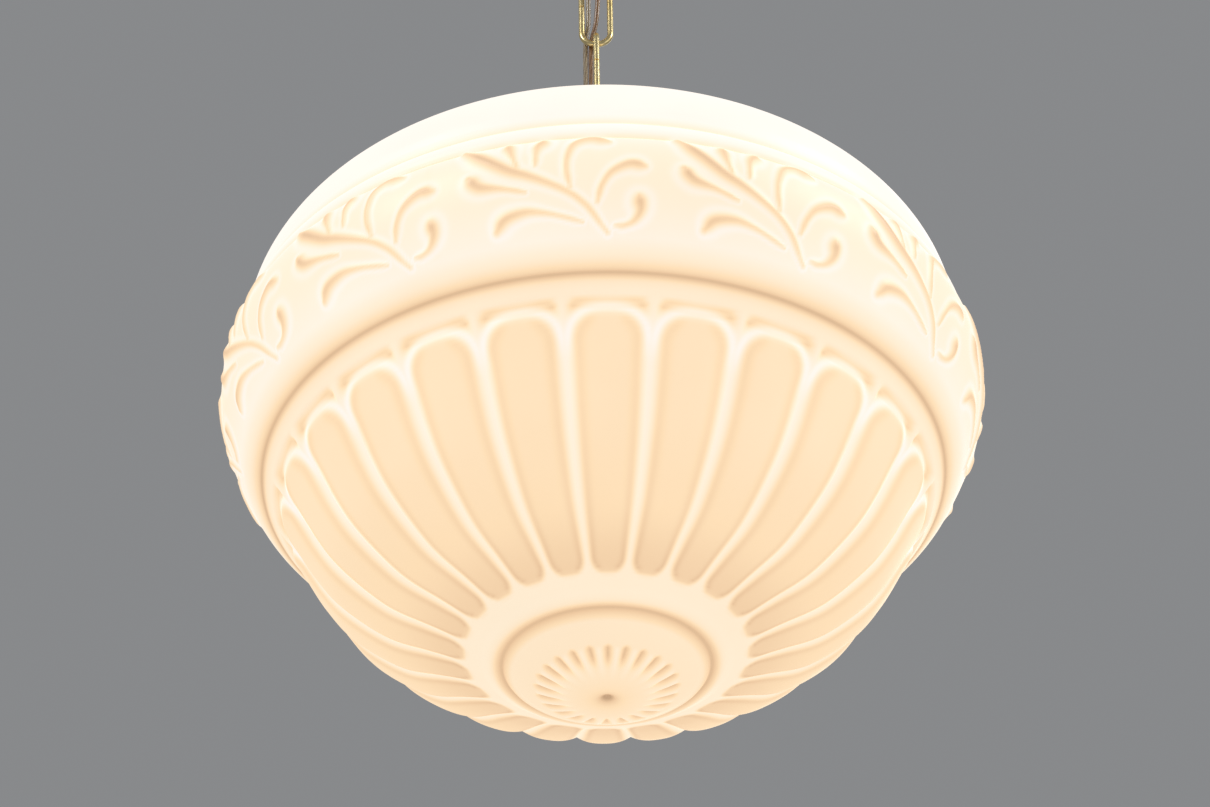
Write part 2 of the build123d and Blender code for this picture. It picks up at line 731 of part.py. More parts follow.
with BuildPart() as lamp_insulator:
    with BuildSketch(Plane.XZ):
        seat_radius = lamp_neck_radius - seat_gap
        Polygon((0, lamp_insulator_z), (lamp_contact_radius, lamp_insulator_z), (seat_radius, lamp_shell_z),
                (seat_radius, lamp_shell_z - overcut), (0, lamp_shell_z - overcut), align=None)
    revolve(axis=Axis.Z)
save(lamp_insulator, "lamp_insulator")

with BuildPart() as lamp_contact:
    with BuildSketch(Plane.XY.offset(lamp_top_z)):
        Circle(lamp_contact_radius)
    extrude(amount=-lamp_contact_height)
    fillet(lamp_contact.edges().sort_by(Axis.Z)[-1], radius=1.0)
save(lamp_contact, "lamp_contact")

filament_z = bulb_z + 2 * lamp_neck_overlap
stem_foot_z = filament_z + filament_rise
with BuildPart() as lamp_stem:
    with BuildSketch(Plane.XY.offset(neck_z - lamp_neck_overlap)):
        Circle(lamp_neck_radius - lamp_glass - seat_gap)
    with BuildSketch(Plane.XY.offset(stem_foot_z)):
        Circle(stem_radius)
    loft()
save(lamp_stem, "lamp_stem")

with BuildPart() as lamp_filament:
    for side in (-1, 1):
        with BuildSketch(Plane.XY.offset(filament_z)):
            with Locations((side * filament_span, 0)):
                Circle(filament_wire)
        with BuildSketch(Plane.XY.offset(stem_foot_z - seat_gap)):
            with Locations((side * (stem_radius - filament_wire), 0)):
                Circle(filament_wire)
        loft()
    with BuildSketch(Plane.YZ.offset(-filament_span)):
        with Locations((0, filament_z)):
            Circle(filament_wire)
    extrude(amount=2 * filament_span)
save(lamp_filament, "lamp_filament")

# ================================================================== glass bowl
def shoulder_point(angle, wall):
    """A point on the shoulder's curve, from its foot at 0 degrees to the neck at 90 degrees."""
    centre = neck_radius + neck_sweep
    across = cos(radians(angle)) ** (2 / shoulder_power)
    up = sin(radians(angle)) ** (2 / shoulder_power)
    return centre + (shoulder_radius - wall - centre) * across, shoulder_foot_z + (shoulder_height - wall) * up


def bowl_outline(wall):
    """Half of the bowl's outline inside the current line block, drawn this far inside its outer skin."""
    steep = wall * sin(radians(45))
    top_z = rim_z + wall
    if wall:
        neck = Polyline((0, top_z), (neck_radius - wall, top_z), (neck_radius - wall, neck_foot_z - wall),
                        shoulder_point(90, wall))
    else:
        neck = Polyline((0, top_z), (lip_radius, top_z), (lip_radius, lip_foot_z), (neck_radius, lip_foot_z),
                        (neck_radius, neck_foot_z + neck_sweep), shoulder_point(90, wall))
    shoulder = Spline(*[shoulder_point(angle, wall) for angle in (90, 72, 54, 36, 18, 0)],
                      tangents=((1, 0), (0, -1)))
    bead = SagittaArc(shoulder @ 1, (bead_radius - wall, shoulder_foot_z - bead_height), bead_bulge)
    band_top = (band_radius - band_round - wall, groove_z + band_height + band_rise)
    Line(bead @ 1, band_top)
    band = RadiusArc(band_top, (band_foot_radius - wall, groove_z + band_foot_height), band_curve)
    foot = SagittaArc(band @ 1, (groove_radius - wall, groove_z), groove_bulge)
    collar = Line(foot @ 1, (flute_top_radius - wall, groove_z - flute_top_drop))
    flutes = ThreePointArc(collar @ 1, (flute_middle_radius - steep, groove_z - flute_middle_drop + steep),
                           (flute_foot_radius, groove_z - flute_foot_drop + wall))
    ring = Line(flutes @ 1, (disc_radius, groove_z - disc_drop + wall))
    disc = TangentArc((0, groove_z - disc_drop - disc_depth + wall), ring @ 1, tangent=(1, 0))
    Line(disc @ 0, neck @ 0)


with BuildPart() as glass_bowl:
    for wall, mode in ((0, Mode.ADD), (glass_wall, Mode.SUBTRACT)):
        with BuildSketch(Plane.XZ):
            with BuildLine():
                bowl_outline(wall)
            make_face()
        revolve(axis=Axis.Z, mode=mode)
save(glass_bowl, "glass_bowl")
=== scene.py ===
import bmesh
import bpy
import numpy as np
from math import cos, pi, radians, sin
from mathutils import Matrix, Vector


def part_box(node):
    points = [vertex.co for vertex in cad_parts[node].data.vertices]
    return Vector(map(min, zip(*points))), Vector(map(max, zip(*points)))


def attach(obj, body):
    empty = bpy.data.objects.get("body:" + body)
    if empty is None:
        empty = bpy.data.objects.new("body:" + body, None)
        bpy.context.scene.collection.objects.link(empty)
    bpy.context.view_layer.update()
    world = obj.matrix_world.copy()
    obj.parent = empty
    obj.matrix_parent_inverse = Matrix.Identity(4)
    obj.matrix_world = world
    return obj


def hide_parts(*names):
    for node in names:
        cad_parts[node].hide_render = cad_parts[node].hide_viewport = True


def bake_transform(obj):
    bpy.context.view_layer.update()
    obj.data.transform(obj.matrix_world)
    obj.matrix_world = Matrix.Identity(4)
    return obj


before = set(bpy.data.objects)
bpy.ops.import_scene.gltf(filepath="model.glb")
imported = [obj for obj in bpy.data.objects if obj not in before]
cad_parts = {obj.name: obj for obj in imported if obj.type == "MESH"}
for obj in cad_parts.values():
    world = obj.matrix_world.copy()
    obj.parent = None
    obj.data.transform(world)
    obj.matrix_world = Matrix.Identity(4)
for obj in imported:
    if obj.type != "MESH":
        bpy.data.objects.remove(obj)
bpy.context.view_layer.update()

# ---- The studio -------------------------------------------------------------------------------
# A pale floor well below the hanging light, an even grey surround and four soft lamps.
# The camera stands below and in front of the bowl and looks up at it with a long lens.
floor_z = -1.9
floor_reach = 6.0
floor_mesh = bpy.data.meshes.new("floor")
floor_corners = [(-floor_reach, -floor_reach, floor_z), (floor_reach, -floor_reach, floor_z),
                 (floor_reach, floor_reach, floor_z), (-floor_reach, floor_reach, floor_z)]
floor_mesh.from_pydata(floor_corners, [], [(0, 1, 2, 3)])
floor = bpy.data.objects.new("floor", floor_mesh)
bpy.context.scene.collection.objects.link(floor)
floor_paint = bpy.data.materials.new("floor_paint")
floor_paint.use_nodes = True
floor_paint.node_tree.nodes["Principled BSDF"].inputs["Base Color"].default_value = (0.72, 0.71, 0.69, 1)
floor_paint.node_tree.nodes["Principled BSDF"].inputs["Roughness"].default_value = 0.8
floor_mesh.materials.append(floor_paint)

surround = bpy.data.worlds.new("surround")
surround.use_nodes = True
surround.node_tree.nodes["Background"].inputs["Color"].default_value = (0.95, 0.97, 1.0, 1)
surround.node_tree.nodes["Background"].inputs["Strength"].default_value = 0.26
bpy.context.scene.world = surround
bpy.context.scene.view_settings.view_transform = "Standard"


def soft_lamp(name, place, aim, power, size):
    """A square soft box that faces the given point: its power in watts, its side in metres."""
    light = bpy.data.lights.new(name, "AREA")
    light.energy = power
    light.size = size
    holder = bpy.data.objects.new(name, light)
    holder.location = place
    holder.rotation_mode = "QUATERNION"
    holder.rotation_quaternion = (Vector(aim) - Vector(place)).to_track_quat("-Z", "Y")
    bpy.context.scene.collection.objects.link(holder)


light_middle = (0, 0, -0.35)
soft_lamp("key_lamp", (-1.5, -1.3, 0.75), light_middle, 18, 0.9)
soft_lamp("fill_lamp", (2.2, -1.3, -0.7), light_middle, 6, 1.8)
soft_lamp("side_lamp", (1.6, -0.6, 0.75), light_middle, 14, 0.8)
soft_lamp("back_lamp", (0.6, 2.0, 0.9), light_middle, 6, 1.6)

camera_target = Vector((0.0014, 0, -0.4431))
camera_distance = 1.6892
camera_rise = 0.65813  # how steeply the camera looks up, in radians
camera_lean = radians(-1.0)
sensor_width = 36
lens_reach = 3200 / 1210  # focal length as a share of the picture's width
sight = Vector((0, cos(camera_rise), sin(camera_rise)))
camera = bpy.data.objects.new("camera", bpy.data.cameras.new("camera"))
camera.data.sensor_width = sensor_width
camera.data.lens = sensor_width * lens_reach
camera.data.clip_start = 0.05
camera.matrix_world = (Matrix.Translation(camera_target - camera_distance * sight)
                       @ Matrix.Rotation(pi / 2 + camera_rise, 4, "X")
                       @ Matrix.Rotation(camera_lean, 4, "Z"))
bpy.context.scene.collection.objects.link(camera)
bpy.context.scene.camera = camera

# ---- Ceiling bar and hickey ------------------------------------------------------------------
# A pressed steel bar is screwed to the ceiling.  Its threaded stud, two nuts and the open yoke
# below it are zinc plated steel; the small earth screw is brass.
mm = 0.001
grain_low, grain_high = 0.3, 0.7  # most of a grain's values lie between these
cloud_scale, polish_scale, scratch_scale = 70, 240, 2600
mottle_scale, skin_scale = 90, 300


def new_finish(name, roughness, metallic=0.0):
    """An empty material with its shader and the piece's own coordinates."""
    finish = bpy.data.materials.new(name)
    finish.use_nodes = True
    tree = finish.node_tree
    shader = tree.nodes["Principled BSDF"]
    shader.inputs["Metallic"].default_value = metallic
    shader.inputs["Roughness"].default_value = roughness
    place = tree.nodes.new("ShaderNodeTexCoord").outputs["Object"]
    return finish, tree, shader, place


def noise(tree, place, scale, stretch=(1, 1, 1), detail=4.0):
    """Grain of the given scale, stretched along an axis."""
    mapping = tree.nodes.new("ShaderNodeMapping")
    mapping.inputs["Scale"].default_value = stretch
    grain = tree.nodes.new("ShaderNodeTexNoise")
    grain.inputs["Scale"].default_value = scale
    grain.inputs["Detail"].default_value = detail
    tree.links.new(place, mapping.inputs["Vector"])
    tree.links.new(mapping.outputs["Vector"], grain.inputs["Vector"])
    return grain.outputs["Fac"]


def ramp(tree, value, *stops):
    """Colours at the given places along a value."""
    band = tree.nodes.new("ShaderNodeValToRGB")
    while len(band.color_ramp.elements) < len(stops):
        band.color_ramp.elements.new(0.5)
    for element, (place, colour) in zip(band.color_ramp.elements, stops):
        element.position = place
        element.color = (*colour, 1)
    tree.links.new(value, band.inputs["Fac"])
    return band.outputs["Color"]


def between(tree, value, low, high):
    """A grain's values spread over a new range."""
    spread = tree.nodes.new("ShaderNodeMapRange")
    spread.inputs["From Min"].default_value = grain_low
    spread.inputs["From Max"].default_value = grain_high
    spread.inputs["To Min"].default_value = low
    spread.inputs["To Max"].default_value = high
    tree.links.new(value, spread.inputs["Value"])
    return spread.outputs["Result"]


def emboss(tree, shader, value, strength, depth):
    """Fine relief from a value."""
    bump = tree.nodes.new("ShaderNodeBump")
    bump.inputs["Strength"].default_value = strength
    bump.inputs["Distance"].default_value = depth
    tree.links.new(value, bump.inputs["Height"])
    tree.links.new(bump.outputs["Normal"], shader.inputs["Normal"])


def metal(name, dull, bright, rough, scratch=(1, 1, 0.06)):
    """A metal with cloudy colour, uneven polish and fine scratches that run one way."""
    finish, tree, shader, place = new_finish(name, rough[0], 1.0)
    clouds = ramp(tree, noise(tree, place, cloud_scale), (grain_low, dull), (grain_high, bright))
    tree.links.new(clouds, shader.inputs["Base Color"])
    polish = between(tree, noise(tree, place, polish_scale), *rough)
    tree.links.new(polish, shader.inputs["Roughness"])
    emboss(tree, shader, noise(tree, place, scratch_scale, scratch), 0.08, 0.05 * mm)
    return finish


def moulded(name, dark, light, rough, grain=900, relief=0.1):
    """A moulded or pressed material with slight mottling and a fine skin."""
    finish, tree, shader, place = new_finish(name, rough[0])
    mottle = ramp(tree, noise(tree, place, mottle_scale), (grain_low, dark), (grain_high, light))
    tree.links.new(mottle, shader.inputs["Base Color"])
    skin = between(tree, noise(tree, place, skin_scale), *rough)
    tree.links.new(skin, shader.inputs["Roughness"])
    emboss(tree, shader, noise(tree, place, grain), relief, 0.1 * mm)
    return finish


def dress(finish, *nodes):
    """Give pieces that keep their designed shape a finish."""
    for node in nodes:
        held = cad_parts[node]
        held.data.materials.clear()
        held.data.materials.append(finish)
        held.data.polygons.foreach_set("material_index", [0] * len(held.data.polygons))


zinc = metal("zinc_plate", (0.42, 0.42, 0.40), (0.66, 0.65, 0.60), (0.28, 0.45))
turned_brass = metal("turned_brass", (0.66, 0.46, 0.19), (0.86, 0.64, 0.30), (0.22, 0.38),
                     (1, 1, 8))
white_plastic = moulded("white_plastic", (0.70, 0.69, 0.64), (0.82, 0.81, 0.77), (0.35, 0.5))
dress(zinc, "mounting_bar", "bar_stud", "bar_nuts", "hickey", "block_screw")
dress(turned_brass, "earth_screw")
dress(white_plastic, "terminal_block")

# ---- Nipple, bush and ceiling loop -----------------------------------------------------------
# The cast brass loop has a threaded hub that passes through the canopy.  A short threaded tube
# joins it to the yoke, and a plastic bush on the tube's end keeps the cord off the metal edge.
dress(zinc, "loop_nipple")
dress(white_plastic, "nipple_bush")

polished_brass = metal("polished_brass", (0.62, 0.42, 0.15), (0.88, 0.66, 0.30), (0.10, 0.24))
loop_wire = 2.0
hub_thread = 1.5  # pitch of the hub's thread
thread_depth = 0.7
hub_length = 16
nipple_bore, nipple_depth = 5, 10  # the threaded hole in the hub's top
ceiling_loop_width = 24
loop_steps = 96


def softened(outline, cut, steps=3):
    """The same closed outline with each corner rounded, as a worked edge is."""
    corners = [np.asarray(point, float) for point in outline]
    count = len(corners)
    result = []
    for index, corner in enumerate(corners):
        before, after = corners[index - 1], corners[(index + 1) % count]
        back, on = np.linalg.norm(before - corner), np.linalg.norm(after - corner)
        reach = min(cut, 0.45 * back, 0.45 * on)
        start = corner + reach * (before - corner) / back
        end = corner + reach * (after - corner) / on
        for step in range(steps + 1):
            share = step / steps
            result.append((1 - share) ** 2 * start + 2 * share * (1 - share) * corner
                          + share**2 * end)
    return np.array(result)


def quads(rows, columns, wrap_rows):
    """Faces of a grid whose columns go all the way round."""
    last = rows if wrap_rows else rows - 1
    row = np.arange(last)[:, None]
    column = np.arange(columns)[None, :]
    next_row = (row + 1) % rows
    next_column = (column + 1) % columns
    corners = [row * columns + column, row * columns + next_column,
               next_row * columns + next_column, next_row * columns + column]
    return np.stack([corner + 0 * row + 0 * column for corner in corners], axis=-1).reshape(-1, 4)


def turned(outline, around=96, closed=True, grips=0, grip_depth=0.0, grip_span=(0.0, 0.0)):
    """Spin (radius, height) points about Z; grips are hollows cut along the rim between two heights."""
    outline = np.asarray(outline, float)
    angle = np.arange(around) * 2 * pi / around
    radius = np.repeat(outline[:, :1], around, axis=1)
    if grips:
        cut = (outline[:, 1] > grip_span[0]) & (outline[:, 1] < grip_span[1])
        cut &= outline[:, 0] > 0.9 * outline[:, 0].max()
        radius = radius - cut[:, None] * grip_depth * (0.5 + 0.5 * np.cos(grips * angle)) ** 2
    height = np.repeat(outline[:, 1:2], around, axis=1)
    points = np.stack([radius * np.cos(angle), radius * np.sin(angle), height], axis=-1)
    return points.reshape(-1, 3), quads(len(outline), around, closed)


def drawn_wire(path, radius, sides=24, closed=False):
    """Round wire along a path; the radius may change along it."""
    path = np.asarray(path, float)
    radius = np.broadcast_to(radius, len(path))
    ahead = np.roll(path, -1, 0) - np.roll(path, 1, 0) if closed else np.gradient(path, axis=0)
    ahead = ahead / np.linalg.norm(ahead, axis=1)[:, None]
    side = np.cross(ahead[0], np.eye(3)[np.argmin(np.abs(ahead[0]))])
    angle = (np.arange(sides) * 2 * pi / sides)[:, None]
    rings = []
    for point, forward, reach in zip(path, ahead, radius):
        side = side - forward * (side @ forward)
        side = side / np.linalg.norm(side)
        rings.append(point + reach * (np.cos(angle) * side + np.sin(angle) * np.cross(forward, side)))
    return np.concatenate(rings), quads(len(path), sides, closed)


def joined(*shells):
    """Several closed shells as one set of points and faces."""
    points, faces, first = [], [], 0
    for shell_points, shell_faces in shells:
        points.append(shell_points)
        faces.append(shell_faces + first)
        first += len(shell_points)
    return np.concatenate(points), np.concatenate(faces)


def make(name, shell, finish, crease=38, tone=None):
    """A piece from points in millimetres, with doubled points merged and its edges creased.

    A tone is the name of a value that the finish reads, and that value at each point."""
    points, faces = shell
    mesh = bpy.data.meshes.new(name)
    mesh.from_pydata((np.asarray(points) * mm).tolist(), [], np.asarray(faces).tolist())
    if tone:
        mesh.attributes.new(tone[0], "FLOAT", "POINT").data.foreach_set("value", tone[1].astype(np.float32))
    work = bmesh.new()
    work.from_mesh(mesh)
    bmesh.ops.remove_doubles(work, verts=work.verts, dist=1e-6)
    bmesh.ops.recalc_face_normals(work, faces=work.faces)
    work.to_mesh(mesh)
    work.free()
    mesh.polygons.foreach_set("use_smooth", [True] * len(mesh.polygons))
    mesh.set_sharp_from_angle(angle=radians(crease))
    mesh.materials.append(finish)
    piece = bpy.data.objects.new(name, mesh)
    bpy.context.scene.collection.objects.link(piece)
    return piece


def ring_path(middle_z, radius):
    """A circle standing in the XZ plane."""
    angle = np.arange(loop_steps) * 2 * pi / loop_steps
    return np.stack([radius * np.cos(angle), 0 * angle, middle_z + radius * np.sin(angle)], axis=-1)


def threads(radius, top, foot, pitch, depth):
    """The zigzag side of a screw thread, from its foot up."""
    count = round((top - foot) / pitch)
    side = [(radius - depth, foot)]
    for turn in range(count):
        low = foot + turn * (top - foot) / count
        side += [(radius, low + 0.35 * pitch), (radius, low + 0.5 * pitch),
                 (radius - depth, low + 0.95 * pitch)]
    return side


loop_low, loop_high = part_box("ceiling_loop")
hub_radius = loop_high.x / mm
hub_top = loop_high.z / mm
hub_foot = hub_top - hub_length
hub_bore = 3.5
loop_reach = (ceiling_loop_width - 2 * loop_wire) / 2
loop_middle = loop_low.z / mm + loop_reach + loop_wire
hub_side = [(hub_bore, hub_foot), (hub_radius - 1.5, hub_foot)]
hub_side += threads(hub_radius, hub_top - 1, hub_foot + 1.2, hub_thread, thread_depth)
hub_side += [(hub_radius - 1.2, hub_top), (nipple_bore, hub_top),
             (nipple_bore, hub_top - nipple_depth), (hub_bore, hub_top - nipple_depth)]
ceiling_loop = make("ceiling_loop_brass", joined(
    turned(softened(hub_side, 0.15, 1)),
    drawn_wire(ring_path(loop_middle, loop_reach), loop_wire, closed=True)),
    polished_brass)
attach(ceiling_loop, "root")
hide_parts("ceiling_loop")

# ---- Canopy and its collar -------------------------------------------------------------------
# The canopy is spun from brass sheet, polished and lacquered, with a rolled rim against the ceiling.
# A knurled brass ring screws up the loop's hub and holds the canopy against the ceiling.
canopy_low, canopy_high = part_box("canopy")
canopy_reach = canopy_high.x / mm
canopy_depth = -canopy_low.z / mm
canopy_rim = 6.0
canopy_sheet = 1.0
canopy_flat = 21.0
canopy_hole = 12.6
canopy_crown = 12.0  # how far the dome stands out from a straight cone


def arc(start, end, bulge, steps=24):
    """Points of a circular arc whose middle stands off the straight line by the bulge, to its left."""
    start, end = np.asarray(start, float), np.asarray(end, float)
    chord = end - start
    half = np.linalg.norm(chord) / 2
    left = np.array([-chord[1], chord[0]]) / (2 * half)
    radius = (half**2 + bulge**2) / (2 * abs(bulge))
    centre = (start + end) / 2 + left * (bulge - np.sign(bulge) * radius)
    first = np.arctan2(*(start - centre)[::-1])
    turn = -2 * np.sign(bulge) * np.arctan2(half, radius - abs(bulge))
    angles = first + np.linspace(0, turn, steps)
    return [tuple(centre + radius * np.array([cos(a), sin(a)])) for a in angles]


canopy_skin = [(canopy_reach, 0), (canopy_reach, -canopy_rim)]
canopy_skin += arc((canopy_reach - 0.3, -canopy_rim - 0.6), (canopy_flat, -canopy_depth),
                   canopy_crown, 40)
canopy_skin += [(canopy_hole, -canopy_depth), (canopy_hole, canopy_sheet - canopy_depth)]
canopy_skin += arc((canopy_flat, canopy_sheet - canopy_depth), (canopy_reach - 1.5, -canopy_rim),
                   -canopy_crown, 40)
canopy_skin += [(canopy_reach - canopy_sheet, -canopy_rim), (canopy_reach - canopy_sheet, 0)]
spun_brass = metal("spun_brass", (0.64, 0.44, 0.16), (0.88, 0.66, 0.31), (0.12, 0.26), (1, 1, 12))
canopy = make("canopy_shell", turned(softened(canopy_skin, 0.25, 2), 160), spun_brass)
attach(canopy, "canopy")
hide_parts("canopy")

collar_low, collar_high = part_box("collar_ring")
collar_top = collar_high.z / mm
collar_foot = collar_low.z / mm
collar_flange = collar_high.x / mm
collar_radius = 16.5
collar_bore = 12.6
collar_bevel = 1.2
flange_thick = 2
# The knurling starts and ends in short steps, so that the rings of points lie close there.
collar_outline = [(collar_bore, collar_foot), (collar_radius - collar_bevel, collar_foot),
                  (collar_radius, collar_foot + collar_bevel), (collar_radius, collar_foot + 2.2),
                  (collar_radius, collar_foot + 2.3), (collar_radius, collar_top - 2.4),
                  (collar_radius, collar_top - 2.3), (collar_radius, collar_top - flange_thick),
                  (collar_flange, collar_top - flange_thick), (collar_flange, collar_top),
                  (collar_bore, collar_top)]
collar_shell = turned(softened(collar_outline, 0.4), 300, grips=50, grip_depth=0.8,
                      grip_span=(collar_foot + 1.9, collar_top - 2.1))
collar = make("collar_knurled", collar_shell, polished_brass)
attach(collar, "collar")
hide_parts("collar_ring")

# ---- Chain -----------------------------------------------------------------------------------
# Three oval links bent from round brass wire, each a quarter turn from the next.  The two ends of
# the wire meet in a plain butt joint halfway down one side, which is open by a hair.
link_wire = 1.75
link_seam = 0.3
seam_above_middle = 2.15
end_reach = 0.35  # the rounding of a cut wire end, along the wire
end_widths = np.array([0.0, 0.7, 0.92, 1.0])
chain_brass = metal("chain_brass", (0.86, 0.66, 0.28), (0.97, 0.82, 0.45), (0.22, 0.34))


def link_path(top, foot, half_width):
    """Down one side from the butt joint, round the lower bend, up, over the top and back to the joint."""
    bend = half_width - link_wire
    upper, lower = top - half_width, foot + half_width
    seam = (top + foot) / 2 + seam_above_middle
    side_steps = np.linspace(0, 1, 14)
    turn = np.linspace(0, pi, 40)
    straight = np.full(len(side_steps), bend)
    to_lower = seam - link_seam / 2 + (lower - seam) * side_steps
    to_upper = lower + (upper - lower) * side_steps
    to_seam = upper + (seam + link_seam / 2 - upper) * side_steps
    sides = [np.stack([-straight, to_lower], axis=-1),
             np.stack([-bend * np.cos(turn), lower - bend * np.sin(turn)], axis=-1)[1:],
             np.stack([straight, to_upper], axis=-1)[1:],
             np.stack([bend * np.cos(turn), upper + bend * np.sin(turn)], axis=-1)[1:],
             np.stack([-straight, to_seam], axis=-1)[1:]]
    return np.concatenate(sides)


def blunt_ends(path, radius):
    """Close both ends of a wire with a slightly rounded face."""
    first, last = path[0], path[-1]
    onward = (path[1] - first) / np.linalg.norm(path[1] - first)
    backward = (path[-2] - last) / np.linalg.norm(path[-2] - last)
    start = [first + onward * end_reach * n / 3 for n in (0, 1, 2, 3)]
    end = [last + backward * end_reach * n / 3 for n in (3, 2, 1, 0)]
    full = np.concatenate([start, path[1:-1], end])
    thickness = np.full(len(full), radius)
    thickness[:4] = radius * end_widths
    thickness[-4:] = radius * end_widths[::-1]
    return full, thickness


for number in (1, 2, 3):
    link_low, link_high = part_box(f"chain_link_{number}")
    flat_path = link_path(link_high.z / mm, link_low.z / mm, max(link_high.x, link_high.y) / mm)
    flat_path, thickness = blunt_ends(flat_path, link_wire)
    across = flat_path[:, 0]
    away = 0 * across
    if link_high.x > link_high.y:
        path = np.stack([across, away, flat_path[:, 1]], axis=-1)
    else:
        path = np.stack([away, across, flat_path[:, 1]], axis=-1)
    link = make(f"chain_link_wire_{number}", drawn_wire(path, thickness, 28), chain_brass)
    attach(link, f"link_{number}")
    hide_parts(f"chain_link_{number}")

# ---- Twin cord -------------------------------------------------------------------------------
# Two insulated strands run from the terminal block down beside the chain to the lampholder.  One
# has tinned conductors and the other bare copper, seen through gold plastic; both bend at the links.
strand_radius = 1.4
strand_side = 1.5  # from the middle to each strand where the two lie together
strand_step = 1.0
left_strand = [(-1.5, 0, -58), (-1.5, 0, -64), (-3.6, -3.75, -76), (-3.5, -3.8, -130), (-4.3, -2.2, -147),
               (-4.2, 1.8, -164), (-6.5, 3.8, -177), (-6.3, 3.9, -205), (-6.9, 3.9, -233.5),
               (-1.5, 0, -246.5), (-1.5, 0, -254)]
right_strand = [(1.5, 0, -58), (1.5, 0, -64), (3.6, -3.75, -76), (3.5, -3.8, -131), (1.2, -2.2, -147),
                (0.2, 1.8, -163), (-3.4, 3.8, -176), (-3.3, 3.9, -205), (-3.7, 3.9, -233.5),
                (1.5, 0, -246.5), (1.5, 0, -254)]


def smooth_route(points):
    """Points along the smooth line that a strand takes past its listed places."""
    curve = bpy.data.curves.new("route", "CURVE")
    curve.dimensions = "3D"
    curve.resolution_u = 24
    line = curve.splines.new("NURBS")
    line.points.add(len(points) - 1)
    for held, point in zip(line.points, points):
        held.co = (*point, 1)
    line.order_u = 3
    line.use_endpoint_u = True
    holder = bpy.data.objects.new("route", curve)
    bpy.context.scene.collection.objects.link(holder)
    bpy.context.view_layer.update()
    mesh = bpy.data.meshes.new_from_object(holder)
    route = np.array([vertex.co for vertex in mesh.vertices])
    bpy.data.objects.remove(holder)
    bpy.data.curves.remove(curve)
    bpy.data.meshes.remove(mesh)
    return route


def stretch(route, upper, lower):
    """The part of a falling route between two heights, cut exactly at both."""
    heights = route[:, 2]
    ends = []
    for height in (upper, lower):
        place = np.interp(-height, -heights, np.arange(len(route)))
        below = min(int(place), len(route) - 2)
        ends.append(route[below] + (place - below) * (route[below + 1] - route[below]))
    inside = route[(heights < upper - 0.2) & (heights > lower + 0.2)]
    return np.concatenate([ends[:1], inside, ends[1:]])


def evenly(path):
    """The same line with points about a step apart."""
    along = np.concatenate([[0], np.cumsum(np.linalg.norm(np.diff(path, axis=0), axis=1))])
    stops = np.linspace(0, along[-1], max(4, round(along[-1] / strand_step)))
    return np.stack([np.interp(stops, along, path[:, axis]) for axis in range(3)], axis=-1)


def insulated(name, conductor_dark, conductor_light):
    """Clear gold plastic over twisted conductors, which show through as slanting threads."""
    finish, tree, shader, place = new_finish(name, 0.28)
    lay = tree.nodes.new("ShaderNodeAttribute")
    lay.attribute_name = "lay"
    threads_seen = ramp(tree, lay.outputs["Fac"], (0.25, conductor_dark), (0.8, conductor_light))
    tree.links.new(threads_seen, shader.inputs["Base Color"])
    tree.links.new(between(tree, noise(tree, place, 400), 0.2, 0.4), shader.inputs["Roughness"])
    shader.inputs["Coat Weight"].default_value = 0.6
    shader.inputs["Coat Roughness"].default_value = 0.12
    emboss(tree, shader, noise(tree, place, 500), 0.1, 0.1 * mm)
    return finish


tinned_strand = insulated("tinned_strand", (0.27, 0.20, 0.12), (0.40, 0.32, 0.21))
copper_strand = insulated("copper_strand", (0.20, 0.10, 0.045), (0.33, 0.18, 0.08))
strand_sides = 30
conductor_turns = 5
conductor_pitch = 11.0


def cord_piece(name, paths):
    """Both strands of one stretch of cord; each ends in a flat cut that meets the next stretch."""
    shells, lay, owner = [], [], []
    angle = np.arange(strand_sides) * 2 * pi / strand_sides
    for number, path in enumerate(paths):
        path = evenly(path)
        path = np.concatenate([path[:1], path, path[-1:]])  # the outer rings close the cut ends
        path[0] += 1e-4 * (path[1] - path[2])
        path[-1] += 1e-4 * (path[-2] - path[-3])
        thickness = np.full(len(path), strand_radius)
        thickness[[0, -1]] = 0
        shells.append(drawn_wire(path, thickness, strand_sides))
        turn = conductor_turns * angle + 2 * pi * path[:, 2:] / conductor_pitch
        lay.append((0.5 + 0.5 * np.sin(turn)).reshape(-1))
        owner.append(np.full(len(shells[-1][1]), number))
    piece = make(name, joined(*shells), tinned_strand, 60, ("lay", np.concatenate(lay)))
    piece.data.materials.append(copper_strand)
    piece.data.polygons.foreach_set("material_index", np.concatenate(owner))
    return piece


routes = [smooth_route(left_strand), smooth_route(right_strand)]
link_boxes = [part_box(f"chain_link_{n}") for n in (1, 2, 3)]
link_middles = [(low.z + high.z) / 2 / mm for low, high in link_boxes]
hub_exit, tube_entry = left_strand[0][2], left_strand[-1][2]
cuts = [hub_exit, *link_middles, tube_entry]
for number in range(4):
    upper, lower = cuts[number], cuts[number + 1]
    strands = [stretch(route, upper, lower) for route in routes]
    cord = cord_piece(f"cord_stretch_{number + 1}", strands)
    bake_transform(cord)
    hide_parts(f"cord_segment_{number + 1}")

block_hole = -18.5
canopy_tails = []
for side in (-1, 1):
    tail = [(side * strand_side, 0, hub_exit), (side * strand_side, 0, -27.2 + side * 1.2),
            (-4.2, side * 2.4, -24.9 + side * 0.6), (-10.5, side * 3.8, -23.6),
            (-14, side * 8, block_hole), (-21, side * 8, block_hole - 0.05)]
    canopy_tails.append(smooth_route(tail))
cord = cord_piece("cord_in_canopy_tails", canopy_tails)
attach(cord, "root")
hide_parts("cord_in_canopy")

